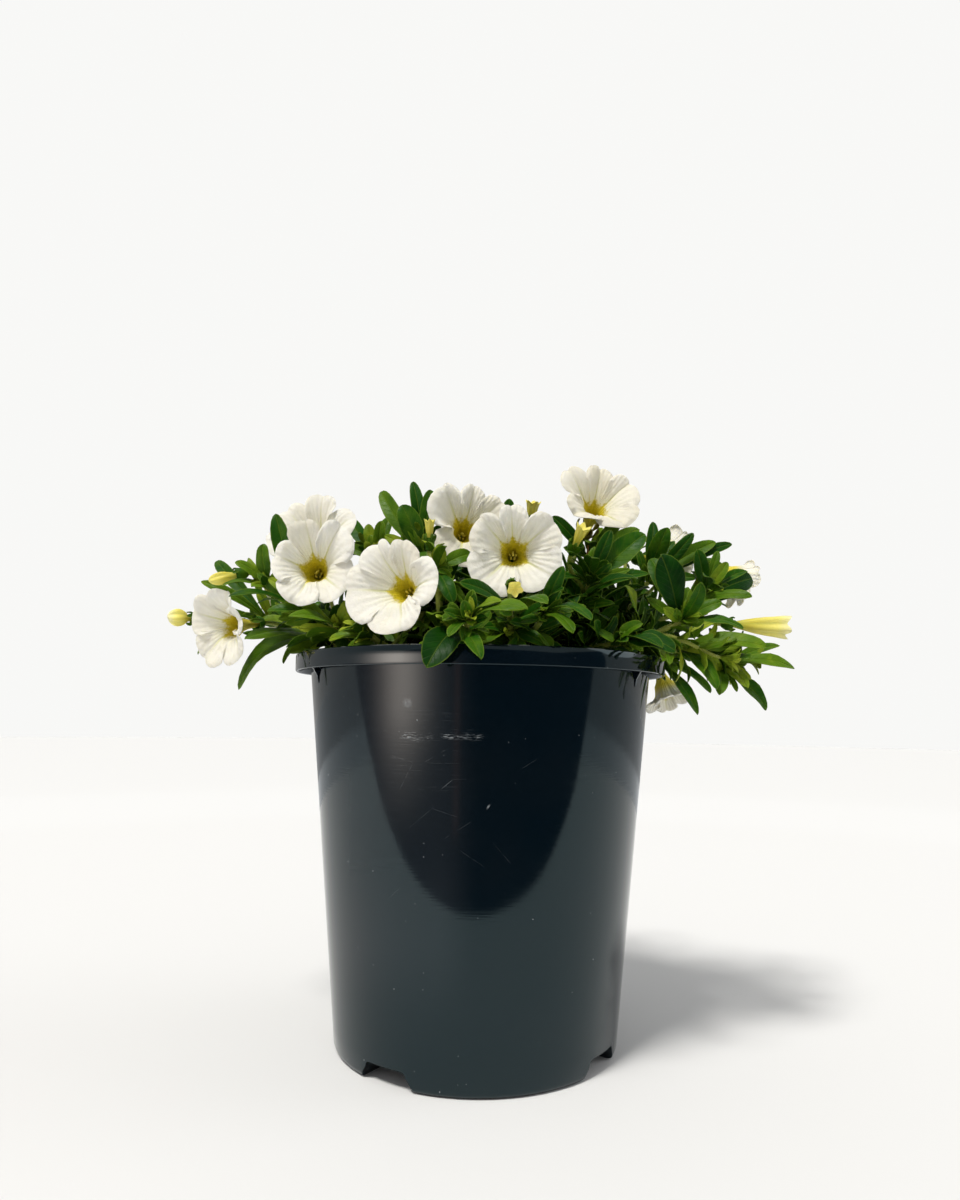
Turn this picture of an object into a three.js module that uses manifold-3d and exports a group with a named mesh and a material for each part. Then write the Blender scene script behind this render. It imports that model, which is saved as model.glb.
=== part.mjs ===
// A calibrachoa in its nursery pot: a black moulded pot with a rolled lip and four drain channels,
// potting mix, leafy branches that stand in plain holes in the mix, white trumpet blooms and yellow
// buds, each seated in a green calyx. Millimetres, +Z up, -Y is the front. The origin is the middle of
// the pot's base, on the ground.
import * as THREE from "three";
import { mergeVertices } from "three/addons/utils/BufferGeometryUtils.js";
import Module from "manifold-3d";

const wasm = await Module();
wasm.setup();

// ---------------------------------------------------------------- driving dimensions

const GAP = 0.35; // clearance between two nodes that touch
const NEEDLE = { edge: 0.25, height: 0.015 }; // shorter edges and flatter triangles are cleared after a join

const POT = {
  height: 172.4,
  lipRadius: 82.5,
  lipDepth: 7.4,
  lipWall: 1.3,
  lipTop: 1.4,
  shoulderRadius: 76.3, // the wall's outside, just under the lip
  baseRadius: 63.6, // the wall's outside, carried down to the ground
  wall: 1.3,
  floor: 1.8,
  sides: 34,
};

const CHANNEL = {
  angles: [-34, 56, 146, 236], // degrees round the pot from the front, towards +X
  height: 8,
  halfWidthLow: 13.6,
  halfWidthHigh: 8.8,
  cornerDrop: 2.2,
  innerRadius: 40,
  holeRadius: 4,
  holeAt: 51,
};

const RIB = { angles: [-63, 57, 177], width: 1.6, drop: 12, reach: 5.2 };

const MIX = { top: 160, mound: 2.2, sides: 24, holeDepth: 14, holeSides: 6 };

// The shoots leave their branch fork above the mix's edge. A calyx's foot is foot behind the flower's
// base.
const STEM = { low: 1.8, high: 1, sides: 3, steps: 5, fork: 4 };
const STALK = { low: 0.8, high: 1, steps: 2, foot: 1.6 };

// A leaf's cross-section is a shallow triangle: two edges and a keel below.
const LEAF = { keel: 0.85, petiole: 0.2, widest: 0.6 };
const LONG_LEAF = 27; // leaves longer than this get one more cross-section
const LONG_STATIONS = [0, 0.32, 0.62, 0.86];
const SHORT_STATIONS = [0, 0.45, 0.8];

// A whorl's hub: its radius, how far it reaches above and below the leaves' feet, and in radians the least and the
// widest angle between two feet. spread is the least sine of a leaf to the hub's axis that it is turned for.
const WHORL = { hub: 2, rise: 0.6, drop: 1.5, apart: 0.6, widest: 2.4, spread: 0.5 };

// A bloom is a trumpet. Each [radius, height] is a place on its wall above the base, and limb says how
// far from the mouth to the rim the last ring before the rim stands, and how high.
const BLOOM = {
  depth: 24, // from the tube's base to the rim
  neck: [1.3, 0.4],
  tube: [2, 8],
  mouth: [4.8, 14.5],
  limb: [0.46, 20.4],
  wall: 0.7,
  notch: 0.8, // the rim's radius between two petals, as a share of their reach
  shoulder: 0.97,
};

// A bud's neck as [radius, height], then its rings as [share of half its thickness, share of its
// length, teeth].
const BUD_NECK = [
  [0.9, 0.3],
  [1.3, 4],
];
const BUD_SHAPES = {
  closed: { rings: [[1, 0.66, 0], [0.7, 0.9, 0]], apex: 1 },
  parting: { rings: [[0.72, 0.74, 0], [1, 0.9, 1]], apex: 0.76 },
};

// The bores of the calyxes are circles through their five inner corners.
const CALYX = { bore: 2.75, length: 6, budBore: 2.2, budLength: 4 };

const GREEN = 0x4f8a1e;
const WHITE = 0xf4f1e8;
const YELLOW = 0xe6dc5a;

// ---------------------------------------------------------------- the plant's plan

// Each branch stands in one hole of the mix and forks into shoots. A shoot's tip is a point, climb is
// how high it rises before it leans and heading the slope of its tip in degrees. Its whorls stand at
// these shares of its length, with so many leaves around, each about leaf long.
const BRANCHES = [
  {
    name: "branch_left",
    root: [-34, -14],
    shoots: [
      { tip: [-93, -22, 202], climb: 8, heading: 42, whorls: [0.5], around: 4, leaf: 26 },
      { tip: [-104, 18, 191], climb: 8, heading: 15, whorls: [0.8], around: 4, leaf: 25 },
    ],
  },
  {
    name: "branch_left_front",
    root: [-24, -34],
    shoots: [
      { tip: [-66, -40, 188], climb: 8, heading: 50, whorls: [], around: 4, leaf: 22 },
      { tip: [-46, -54, 180], climb: 8, heading: 40, whorls: [0.85], around: 4, leaf: 18 },
    ],
  },
  {
    name: "branch_centre_left",
    root: [-16, -8],
    shoots: [
      { tip: [-26, -26, 220], climb: 26, heading: 76, whorls: [0.55], around: 4, leaf: 26 },
      { tip: [-54, 14, 226], climb: 26, heading: 50, whorls: [0.6], around: 4, leaf: 26 },
    ],
  },
  {
    name: "branch_front",
    root: [-13, -44],
    shoots: [
      { tip: [-18, -58, 208], climb: 20, heading: 74, whorls: [0.6], around: 4, leaf: 24 },
      { tip: [-4, -84, 181], climb: 10, heading: 20, whorls: [], around: 4, leaf: 14 },
    ],
  },
  {
    name: "branch_front_right",
    root: [12, -34],
    shoots: [
      { tip: [11, -66, 190], climb: 16, heading: 60, whorls: [0.62], around: 4, leaf: 18 },
      { tip: [24, -64, 186], climb: 12, heading: 40, whorls: [], around: 4, leaf: 22 },
    ],
  },
  {
    name: "branch_right_front",
    root: [26, -20],
    shoots: [
      { tip: [46, -40, 206], climb: 22, heading: 60, whorls: [0.5], around: 4, leaf: 26 },
      { tip: [56, -50, 176], climb: 10, heading: 0, whorls: [], around: 4, leaf: 24 },
    ],
  },
  {
    name: "branch_right_low",
    root: [38, -10],
    shoots: [
      { tip: [86, -34, 189], climb: 12, heading: 30, whorls: [0.6], around: 4, leaf: 26 },
      { tip: [106, -20, 168], climb: 26, heading: -30, whorls: [0.82], around: 4, leaf: 22 },
    ],
  },
  {
    name: "branch_right",
    root: [36, 8],
    shoots: [
      { tip: [104, -3, 206], climb: 26, heading: 45, whorls: [0.55], around: 4, leaf: 26 },
      { tip: [92, 22, 173], climb: 20, heading: -20, whorls: [0.65], around: 4, leaf: 24 },
    ],
  },
  {
    name: "branch_right_back",
    root: [20, 22],
    shoots: [
      { tip: [88, 14, 220], climb: 34, heading: 50, whorls: [0.55], around: 4, leaf: 26 },
      { tip: [78, 52, 204], climb: 28, heading: 25, whorls: [0.6, 0.93], around: 5, leaf: 26 },
    ],
  },
  {
    name: "branch_top",
    root: [4, -12],
    shoots: [
      { tip: [12, 0, 230], climb: 34, heading: 80, whorls: [0.62], around: 4, leaf: 24 },
      { tip: [52, -4, 226], climb: 30, heading: 62, whorls: [0.6], around: 4, leaf: 26 },
    ],
  },
  {
    name: "branch_back",
    root: [4, 34],
    shoots: [
      { tip: [12, 50, 232], climb: 36, heading: 65, whorls: [0.6, 0.93], around: 5, leaf: 25 },
      { tip: [26, 90, 190], climb: 20, heading: 5, whorls: [0.62, 0.95], around: 5, leaf: 25 },
      { tip: [-16, 84, 206], climb: 26, heading: 25, whorls: [0.9], around: 5, leaf: 25 },
    ],
  },
  {
    name: "branch_back_left",
    root: [-20, 22],
    shoots: [
      { tip: [-30, 46, 228], climb: 34, heading: 60, whorls: [0.6, 0.93], around: 5, leaf: 25 },
      { tip: [-62, 70, 192], climb: 20, heading: 5, whorls: [0.7, 0.95], around: 5, leaf: 26 },
      { tip: [-92, 38, 200], climb: 22, heading: 15, whorls: [0.62, 0.94], around: 5, leaf: 26 },
    ],
  },
];

// Whorls whose leaves are set one by one: the shoot and how far along it the whorl stands, then for
// each leaf its tip, its width, the bearing and slope of the way its upper face looks, and its arch.
const SET_WHORLS = [
  {
    on: ["branch_left", 0, 0.76],
    leaves: [
      [[-88, -28, 231], 8.5, [-10, 20], 0.06],
      [[-77, -48, 199], 7, [0, 30], 0.1],
      [[-104, -36, 196], 5, [-10, 50], 0.12],
      [[-100, -22, 216], 9, [-25, 30], 0.08],
    ],
  },
  {
    on: ["branch_left", 0, 0.97],
    leaves: [
      [[-93, -28, 218], 7, [-15, 25], 0.08],
      [[-106, -26, 209], 5.5, [-20, 40], 0.1],
      [[-110, -10, 218], 4.5, [-50, 30], 0.1],
      [[-109, -30, 201], 5.5, [-10, 60], 0.12],
    ],
  },
  {
    on: ["branch_left", 1, 0.6],
    leaves: [
      [[-107, -16, 160], 12, [-20, 50], 0.2],
      [[-100, -26, 180], 9, [-10, 50], 0.08],
      [[-102, 6, 191], 9, [-40, 60], 0.06],
    ],
  },
  {
    on: ["branch_left", 1, 0.96],
    leaves: [
      [[-130, 6, 208], 5, [-40, 30], 0.12],
      [[-132, 30, 222], 7, [-60, 40], 0.1],
      [[-135, 14, 176], 7, [-50, 50], 0.1],
    ],
  },
  {
    on: ["branch_left_front", 0, 0.8],
    leaves: [
      [[-70, -58, 190], 6, [-10, 40], 0.1],
      [[-85, -48, 189], 6, [-20, 50], 0.1],
      [[-52, -48, 192], 7, [10, 30], 0.1],
      [[-80, -40, 209], 6, [-20, 30], 0.1],
    ],
  },
  {
    on: ["branch_centre_left", 0, 0.9],
    leaves: [
      [[-45, -16, 245], 7.5, [-20, 15], 0.06],
      [[-34, -30, 235], 10, [-5, 15], 0.06],
      [[-30, -24, 247], 6, [5, 10], 0.04],
      [[-22, -26, 243], 7, [10, 12], 0.05],
      [[-25, -50, 208], 7, [0, 30], 0.1],
    ],
  },
  {
    on: ["branch_centre_left", 1, 0.9],
    leaves: [
      [[-54, 10, 236], 6, [-20, 30], 0.06],
      [[-47, 4, 236], 6, [0, 30], 0.06],
      [[-44, 14, 241], 6, [10, 30], 0.06],
      [[-64, 22, 241], 7, [-30, 30], 0.06],
    ],
  },
  {
    on: ["branch_front", 0, 0.9],
    leaves: [
      [[-11, -62, 222], 4.5, [20, 20], 0.1],
      [[-15, -60, 212], 6, [5, 25], 0.08],
      [[-4, -56, 210], 6.5, [10, 20], 0.08],
      [[-22, -58, 211], 6, [-10, 20], 0.08],
      [[-20, -76, 193], 7, [-10, 45], 0.1],
    ],
  },
  {
    on: ["branch_front", 1, 0.93],
    leaves: [
      [[15, -98, 184], 7.5, [0, 50], 0.12],
      [[6, -92, 187], 6.5, [10, 50], 0.1],
      [[-6, -92, 186], 4.5, [0, 15], 0.06],
      [[-12, -90, 183], 5.5, [-10, 50], 0.1],
      [[0, -88, 189], 4.5, [5, 20], 0.08],
      [[-11, -96, 178], 4.5, [-10, 65], 0.1],
    ],
  },
  {
    on: ["branch_front", 1, 0.62],
    leaves: [
      [[-18, -94, 165], 13, [-5, 20], 0.2],
      [[0, -98, 167], 6.5, [10, 25], 0.14],
      [[-16, -86, 177], 7, [-10, 50], 0.1],
    ],
  },
  {
    on: ["branch_front_right", 0, 0.9],
    leaves: [
      [[-7, -80, 195], 6, [-20, 25], 0.08],
      [[7, -78, 187], 6, [0, 40], 0.08],
      [[23, -84, 189], 6.5, [10, 45], 0.1],
    ],
  },
  {
    on: ["branch_front_right", 1, 0.93],
    leaves: [
      [[39, -86, 182], 7, [10, 55], 0.16],
      [[33, -84, 178], 6, [10, 50], 0.14],
      [[29, -76, 194], 7, [10, 40], 0.1],
      [[25, -60, 207], 6, [0, 30], 0.08],
    ],
  },
  {
    on: ["branch_right_front", 0, 0.62],
    leaves: [
      [[58, -60, 202], 7.5, [10, 45], 0.1],
      [[66, -46, 206], 6, [15, 40], 0.14],
      [[36, -62, 191], 6, [-10, 40], 0.1],
    ],
  },
  {
    on: ["branch_right_front", 0, 0.9],
    leaves: [
      [[66, -42, 222], 10.5, [5, 20], 0.05],
      [[34, -62, 211], 6, [-10, 35], 0.06],
      [[42, -64, 209], 6.5, [0, 35], 0.06],
      [[30, -58, 207], 5.5, [-15, 35], 0.06],
      [[52, -40, 223], 6, [10, 20], 0.05],
    ],
  },
  {
    on: ["branch_right_front", 1, 0.93],
    leaves: [
      [[73, -66, 174], 11, [5, 40], 0.1],
      [[68, -68, 168], 7, [10, 60], 0.12],
      [[62, -56, 184], 6, [0, 35], 0.08],
    ],
  },
  {
    on: ["branch_right_low", 0, 0.94],
    leaves: [
      [[73, -46, 212], 13.5, [5, 15], 0.05],
      [[87, -52, 199], 7, [10, 20], 0.05],
      [[72, -28, 215], 9, [-5, 20], 0.05],
      [[98, -40, 195], 6.5, [15, 30], 0.06],
      [[106, -44, 185], 6, [15, 45], 0.08],
    ],
  },
  {
    on: ["branch_right_low", 1, 0.7],
    leaves: [
      [[118, -36, 178], 10, [10, 35], 0.08],
      [[96, -44, 160], 7.5, [5, 40], 0.12],
      [[98, -20, 162], 7, [10, 50], 0.1],
    ],
  },
  {
    on: ["branch_right_low", 1, 0.95],
    leaves: [
      [[134, -26, 170], 6.5, [10, 35], 0.12],
      [[131, -16, 180], 5, [15, 45], 0.08],
      [[123, -26, 152], 7, [10, 30], 0.1],
      [[110, -40, 173], 7.5, [5, 40], 0.06],
      [[110, -38, 161], 6, [5, 35], 0.08],
      [[98, -42, 158], 6.5, [0, 20], 0.08],
    ],
  },
  {
    on: ["branch_right", 0, 0.82],
    leaves: [
      [[126, 4, 213], 12, [15, 15], 0.06],
      [[115, -24, 201], 6.5, [10, 30], 0.08],
      [[110, -20, 209], 5.5, [10, 30], 0.08],
    ],
  },
  {
    on: ["branch_right", 0, 0.95],
    leaves: [
      [[95, -14, 221], 7, [-10, 20], 0.06],
      [[107, -4, 223], 4.5, [0, 15], 0.05],
      [[110, -8, 217], 5.5, [10, 25], 0.06],
      [[120, -4, 215], 5, [15, 40], 0.08],
      [[96, -26, 209], 5.5, [0, 30], 0.06],
    ],
  },
  {
    on: ["branch_right", 1, 0.88],
    leaves: [
      [[102, 6, 150], 6, [10, 25], 0.08],
      [[107, 4, 160], 6, [15, 40], 0.1],
      [[118, 12, 175], 7, [20, 50], 0.08],
    ],
  },
  {
    on: ["branch_right_back", 0, 0.86],
    leaves: [
      [[97, 2, 232], 6.5, [5, 15], 0.05],
      [[84, -2, 233], 9, [-5, 15], 0.05],
      [[109, 8, 230], 7.5, [10, 20], 0.06],
      [[82, 16, 241], 6, [0, 10], 0.05],
      [[119, 20, 227], 6, [20, 30], 0.06],
    ],
  },
  {
    on: ["branch_top", 0, 0.9],
    leaves: [
      [[12, -8, 244], 6.5, [5, 15], 0.06],
      [[-8, -6, 249], 6, [-5, 15], 0.06],
      [[4, 6, 247], 6, [0, 15], 0.06],
      [[22, 0, 237], 6, [10, 20], 0.06],
    ],
  },
  {
    on: ["branch_top", 1, 0.9],
    leaves: [
      [[37, -10, 240], 6, [-10, 15], 0.06],
      [[61, -14, 234], 6, [10, 25], 0.06],
      [[72, 0, 234], 6, [20, 25], 0.06],
      [[45, -34, 221], 6, [0, 30], 0.06],
    ],
  },
];

// Blooms: the middle of the rim, the bearing and slope of the way it faces, its five petals and where
// its stalk leaves. A petal is [angle, reach, lean]: anticlockwise from the right as one looks into the
// bloom, out from its axis, and forward of its rim. Bearings run from the front towards +X, in degrees.
const BLOOMS = [
  {
    name: "bloom_left",
    rim: [-115, -16, 184],
    faces: [-34, -10],
    petals: [[10, 17, 1], [67, 17, 0], [154, 19.5, 0], [226, 19.5, 0], [315, 19, 1]],
    on: ["branch_left", 1, 0.7],
  },
  {
    name: "bloom_left_front",
    rim: [-68, -50, 206],
    faces: [-2, 8],
    petals: [[53, 18.5, 2], [97, 17.5, 2], [166, 16, 0], [249, 17.5, 0], [320, 17, 0]],
    on: ["branch_left_front", 0, 0.7],
  },
  {
    name: "bloom_left_top",
    rim: [-75, -20, 226],
    faces: [-16, 30],
    petals: [[26, 20, -2], [84, 20, 1], [138, 20, 0], [196, 19, 0], [300, 17, 0]],
    on: ["branch_centre_left", 1, 0.5],
  },
  {
    name: "bloom_front_left",
    rim: [-34, -66, 196],
    faces: [-26, 8],
    petals: [[4, 20, 0], [79, 17.5, 0], [119, 20, 0], [183, 22, 0], [288, 20, 0]],
    on: ["branch_left_front", 1, 0.6],
  },
  {
    name: "bloom_centre",
    rim: [-6, -36, 226],
    faces: [12, 10],
    petals: [[37, 18.5, 0], [79, 18, 0], [123, 19.5, 1], [257, 19, 0], [326, 16, 0]],
    on: ["branch_top", 0, 0.5],
  },
  {
    name: "bloom_front",
    rim: [12.5, -64, 210],
    faces: [1, 0],
    petals: [[37, 19, 0], [96, 17.5, 0], [139, 18.5, 0], [226, 20, 0], [326, 19, 0]],
    on: ["branch_front_right", 0, 0.5],
  },
  {
    name: "bloom_right_top",
    rim: [50, -26, 240.5],
    faces: [12, 30],
    petals: [[33, 19, 0], [80, 18.5, 0], [128, 20, 0], [217, 16.5, 0], [302, 18.5, 0]],
    on: ["branch_top", 1, 0.6],
  },
  {
    name: "bloom_right_back",
    rim: [97, 32, 228],
    faces: [108, 8],
    petals: [[20, 15, 0], [90, 15, 0], [160, 15, 0], [235, 15, 0], [305, 15, 0]],
    on: ["branch_right_back", 0, 0.72],
  },
  {
    name: "bloom_right",
    rim: [127, 26, 213],
    faces: [106, -22],
    petals: [[15, 13, 1], [85, 13, 1], [160, 13, 1], [230, 13, 1], [300, 13, 1]],
    on: ["branch_right_back", 0, 0.7],
  },
  {
    name: "bloom_right_low",
    rim: [95, 34, 155],
    faces: [40, -66],
    petals: [[20, 12, 1], [95, 12, 0], [165, 12, 1], [240, 13, 0], [310, 12, 1]],
    on: ["branch_right", 1, 0.8],
  },
  {
    name: "bloom_back",
    rim: [-4, 104, 214],
    faces: [182, 22],
    petals: [[22, 18, 0], [88, 18, 1], [160, 18, 0], [232, 19, 0], [305, 18, 0]],
    on: ["branch_back", 2, 0.75],
  },
  {
    name: "bloom_back_right",
    rim: [56, 86, 206],
    faces: [150, 15],
    petals: [[10, 18, 0], [85, 18, 0], [155, 19, 1], [225, 18, 0], [300, 18, 0]],
    on: ["branch_right_back", 1, 0.75],
  },
  {
    name: "bloom_back_left",
    rim: [-50, 82, 216],
    faces: [212, 25],
    petals: [[15, 18, 0], [90, 19, 0], [165, 18, 0], [235, 18, 0], [308, 18, 1]],
    on: ["branch_back_left", 1, 0.7],
  },
  {
    name: "bloom_left_back",
    rim: [-104, 58, 206],
    faces: [248, 12],
    petals: [[25, 18, 1], [95, 18, 0], [165, 18, 0], [240, 18, 0], [310, 18, 0]],
    on: ["branch_back_left", 2, 0.75],
  },
];

// Buds: tip, the way they point, length, thickness, whether the lobes are closed or parting, and the
// shoot.
const BUDS = [
  {
    name: "bud_left_end",
    tip: [-142, -4, 190],
    points: [-66, 4],
    length: 13,
    across: 8,
    shape: "closed",
    on: ["branch_left", 1, 0.92],
  },
  {
    name: "bud_left",
    tip: [-117, -24, 203],
    points: [-78, -14],
    length: 15,
    across: 5.5,
    shape: "closed",
    on: ["branch_left", 0, 0.9],
  },
  {
    name: "bud_right_end",
    tip: [141, -4, 189],
    points: [86, -2],
    length: 30,
    across: 10,
    shape: "parting",
    on: ["branch_right", 0, 0.8],
  },
  {
    name: "bud_top",
    tip: [23, -4, 245],
    points: [20, 72],
    length: 11,
    across: 7,
    shape: "parting",
    on: ["branch_top", 0, 0.82],
  },
  {
    name: "bud_right_front",
    tip: [40, -56, 222],
    points: [30, 50],
    length: 12,
    across: 6,
    shape: "parting",
    on: ["branch_right_front", 0, 0.8],
  },
  {
    name: "bud_front",
    tip: [12, -88, 191],
    points: [8, -20],
    length: 11,
    across: 7,
    shape: "parting",
    on: ["branch_front_right", 0, 0.85],
  },
  {
    name: "bud_centre",
    tip: [-21, -50, 225],
    points: [0, 82],
    length: 11,
    across: 4.5,
    shape: "parting",
    on: ["branch_front", 0, 0.88],
  },
  {
    name: "bud_back",
    tip: [34, 62, 226],
    points: [160, 50],
    length: 12,
    across: 5.5,
    shape: "closed",
    on: ["branch_back", 0, 0.7],
  },
];

// ---------------------------------------------------------------- small geometry tools

const V = (x, y, z) => new THREE.Vector3(x, y, z);
const rad = THREE.MathUtils.degToRad;
const lerp = THREE.MathUtils.lerp;
const smoothstep = THREE.MathUtils.smoothstep;

// A repeatable number from 0 to 1 for each pair of whole numbers.
function chance(seed, k) {
  const x = Math.sin(seed * 12.9898 + k * 78.233) * 43758.5453;
  return x - Math.floor(x);
}

// The unit vector with a bearing from the front (-Y) towards +X and a slope above the ground, in
// degrees.
function heading(bearing, slope) {
  const b = rad(bearing);
  const e = rad(slope);
  return V(Math.sin(b) * Math.cos(e), -Math.cos(b) * Math.cos(e), Math.sin(e));
}

// The part of a that is square to the unit vector n, at length 1.
function squareTo(a, n) {
  return a.clone().addScaledVector(n, -a.dot(n)).normalize();
}

// A closed body skinned over rings of equal count. A ring of one point is an apex. The quads from ring
// flip onwards are split along their other diagonal.
function skin(rings, flip = Infinity) {
  const points = [];
  const starts = rings.map((ring) => {
    const at = points.length / 3;
    ring.forEach((p) => points.push(p.x, p.y, p.z));
    return at;
  });
  const faces = [];
  for (let i = 0; i + 1 < rings.length; i++) {
    const a = starts[i];
    const b = starts[i + 1];
    const n = Math.max(rings[i].length, rings[i + 1].length);
    for (let j = 0; j < n; j++) {
      const k = (j + 1) % n;
      if (rings[i].length === 1) faces.push([a, b + k, b + j]);
      else if (rings[i + 1].length === 1) faces.push([a + j, a + k, b]);
      else if (i >= flip) faces.push([a + j, a + k, b + j], [a + k, b + k, b + j]);
      else faces.push([a + j, a + k, b + k], [a + j, b + k, b + j]);
    }
  }
  for (let j = 1; j + 1 < rings[0].length; j++) faces.push([starts[0], starts[0] + j + 1, starts[0] + j]);
  const last = starts.at(-1);
  for (let j = 1; j + 1 < rings.at(-1).length; j++) faces.push([last, last + j, last + j + 1]);
  const geometry = new THREE.BufferGeometry();
  geometry.setAttribute("position", new THREE.Float32BufferAttribute(points, 3));
  geometry.setIndex(faces.flat());
  return geometry;
}

// The solid of a closed three.js geometry, with its faces turned outwards.
function solid(geometry) {
  const bare = geometry.clone();
  bare.deleteAttribute("normal");
  bare.deleteAttribute("uv");
  const merged = mergeVertices(bare, 1e-4);
  const vertProperties = merged.attributes.position.array;
  const triVerts = new Uint32Array(merged.index.array);
  const made = new wasm.Manifold(new wasm.Mesh({ numProp: 3, vertProperties, triVerts }));
  if (made.volume() > 0) return made;
  for (let i = 0; i < triVerts.length; i += 3) triVerts.subarray(i, i + 3).reverse();
  return new wasm.Manifold(new wasm.Mesh({ numProp: 3, vertProperties, triVerts }));
}

// The points and faces of a solid, as vectors and lists of three indices.
function meshOf(made) {
  const { numVert, numTri, vertProperties, triVerts } = made.getMesh();
  const points = Array.from({ length: numVert }, (_, i) => V(...vertProperties.slice(i * 3, i * 3 + 3)));
  const faces = Array.from({ length: numTri }, (_, i) => [...triVerts.slice(i * 3, i * 3 + 3)]);
  return { points, faces };
}

// The three.js geometry of a solid, its faces listed from the largest to the smallest.
function geometryOf(made) {
  const { points, faces } = meshOf(made);
  const area = (face) => new THREE.Triangle(...face.map((k) => points[k])).getArea();
  const listed = faces.map((face) => ({ face, size: area(face) })).sort((a, b) => b.size - a.size);
  const geometry = new THREE.BufferGeometry().setFromPoints(points);
  geometry.setIndex(listed.flatMap(({ face }) => face));
  geometry.computeVertexNormals();
  return geometry;
}

// The neighbours of each point of a mesh, as a list of sets.
function neighbours(points, faces) {
  const near = points.map(() => new Set());
  for (const [a, b, c] of faces) {
    near[a].add(b).add(c);
    near[b].add(a).add(c);
    near[c].add(a).add(b);
  }
  return near;
}

// Draws the ends of one short edge together where that folds nothing over. True if it found such an edge.
function drawOneEdge(points, faces, least) {
  const near = neighbours(points, faces);
  const normal = (face, moved, to) => {
    const [p, q, r] = face.map((k) => (k === moved ? to : points[k]));
    return q.clone().sub(p).cross(r.clone().sub(p));
  };
  for (let a = 0; a < points.length; a++) {
    for (const b of near[a]) {
      const shared = [...near[a]].filter((k) => near[b].has(k));
      if (points[a].distanceTo(points[b]) > least || shared.length !== 2) continue;
      const left = faces.filter((face) => face.includes(b) && !face.includes(a));
      const turns = (face) => {
        const before = normal(face);
        const after = normal(face, b, points[a]);
        return before.dot(after) < 0.2 * before.length() * after.length();
      };
      if (left.some((face) => normal(face).length() > 0.002 && turns(face))) continue;
      const kept = faces.filter((face) => !(face.includes(a) && face.includes(b)));
      faces.splice(0, Infinity, ...kept.map((face) => face.map((k) => (k === b ? a : k))));
      return true;
    }
  }
  return false;
}

// Gives one flat needle of a triangle away to its neighbour across its longest edge. True if it found one.
function turnOneEdge(points, faces, least) {
  const near = neighbours(points, faces);
  for (const face of faces) {
    for (let i = 0; i < 3; i++) {
      const [a, b, c] = [face[i], face[(i + 1) % 3], face[(i + 2) % 3]];
      const edge = points[b].clone().sub(points[a]);
      const side = points[c].clone().sub(points[a]);
      const height = edge.clone().cross(side).length() / edge.length();
      const share = edge.dot(side) / edge.lengthSq();
      if (height > least || share < 0 || share > 1) continue;
      const other = faces.find((f) => f !== face && f.includes(a) && f.includes(b));
      const d = other.find((k) => k !== a && k !== b);
      if (near[c].has(d)) continue;
      face.splice(0, 3, a, d, c);
      other.splice(0, 3, d, b, c);
      return true;
    }
  }
  return false;
}

// A solid rid of the needles that joining leaves behind.
function cleaned(made) {
  const { points, faces } = meshOf(made);
  while (drawOneEdge(points, faces, NEEDLE.edge));
  for (let tries = 0; tries < 200 && turnOneEdge(points, faces, NEEDLE.height); tries++);
  const geometry = new THREE.BufferGeometry().setFromPoints(points);
  geometry.setIndex(faces.flat());
  return solid(geometry);
}

// Several solids joined; a scrap that hangs loose is dropped.
function joined(solids) {
  const bodies = wasm.Manifold.union(solids).simplify(0.01).decompose();
  return cleaned(bodies.reduce((a, b) => (a.volume() > b.volume() ? a : b)));
}

// A solid of revolution about the Z axis from a closed profile of [radius, height] points.
function turned(profile, sides) {
  const lathe = new THREE.LatheGeometry(profile.map(([r, z]) => new THREE.Vector2(r, z)), sides);
  return solid(lathe.rotateX(Math.PI / 2));
}

// A ring of points round a centre, square to along and starting on the side of across.
function ringAround(centre, along, across, radius, sides) {
  const other = along.clone().cross(across);
  return Array.from({ length: sides }, (_, j) => {
    const a = (j / sides) * 2 * Math.PI;
    const spoke = across.clone().multiplyScalar(Math.cos(a)).addScaledVector(other, Math.sin(a));
    return centre.clone().addScaledVector(spoke, radius);
  });
}

// The rings of a round bar along a list of points, with its radius at each, and the side they start on.
function barRings(points, radii, sides) {
  let across = V(1, 0, 0);
  const rings = points.map((p, i) => {
    const before = points[Math.max(i - 1, 0)];
    const after = points[Math.min(i + 1, points.length - 1)];
    const along = after.clone().sub(before).normalize();
    across = squareTo(across, along);
    return ringAround(p, along, across, radii[i], sides);
  });
  return { rings, across };
}

// ---------------------------------------------------------------- pot

const wallSlope = (POT.shoulderRadius - POT.baseRadius) / POT.height;
const outside = (z) => POT.baseRadius + wallSlope * z;
const inside = (z) => outside(z) - POT.wall;

// The outline of the pot's outside, from the middle of the base up to the top of the lip.
function outerProfile() {
  const lipLow = POT.height - POT.lipDepth;
  const flangeLow = POT.height - POT.lipTop;
  return [
    [0, 0],
    [outside(0) - 2.6, 0],
    [outside(2.4), 2.4],
    [outside(flangeLow), flangeLow],
    [POT.lipRadius - POT.lipWall, flangeLow],
    [POT.lipRadius - POT.lipWall, lipLow],
    [POT.lipRadius, lipLow],
    [POT.lipRadius, POT.height - 0.5],
    [POT.lipRadius - 0.5, POT.height],
  ];
}

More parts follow.
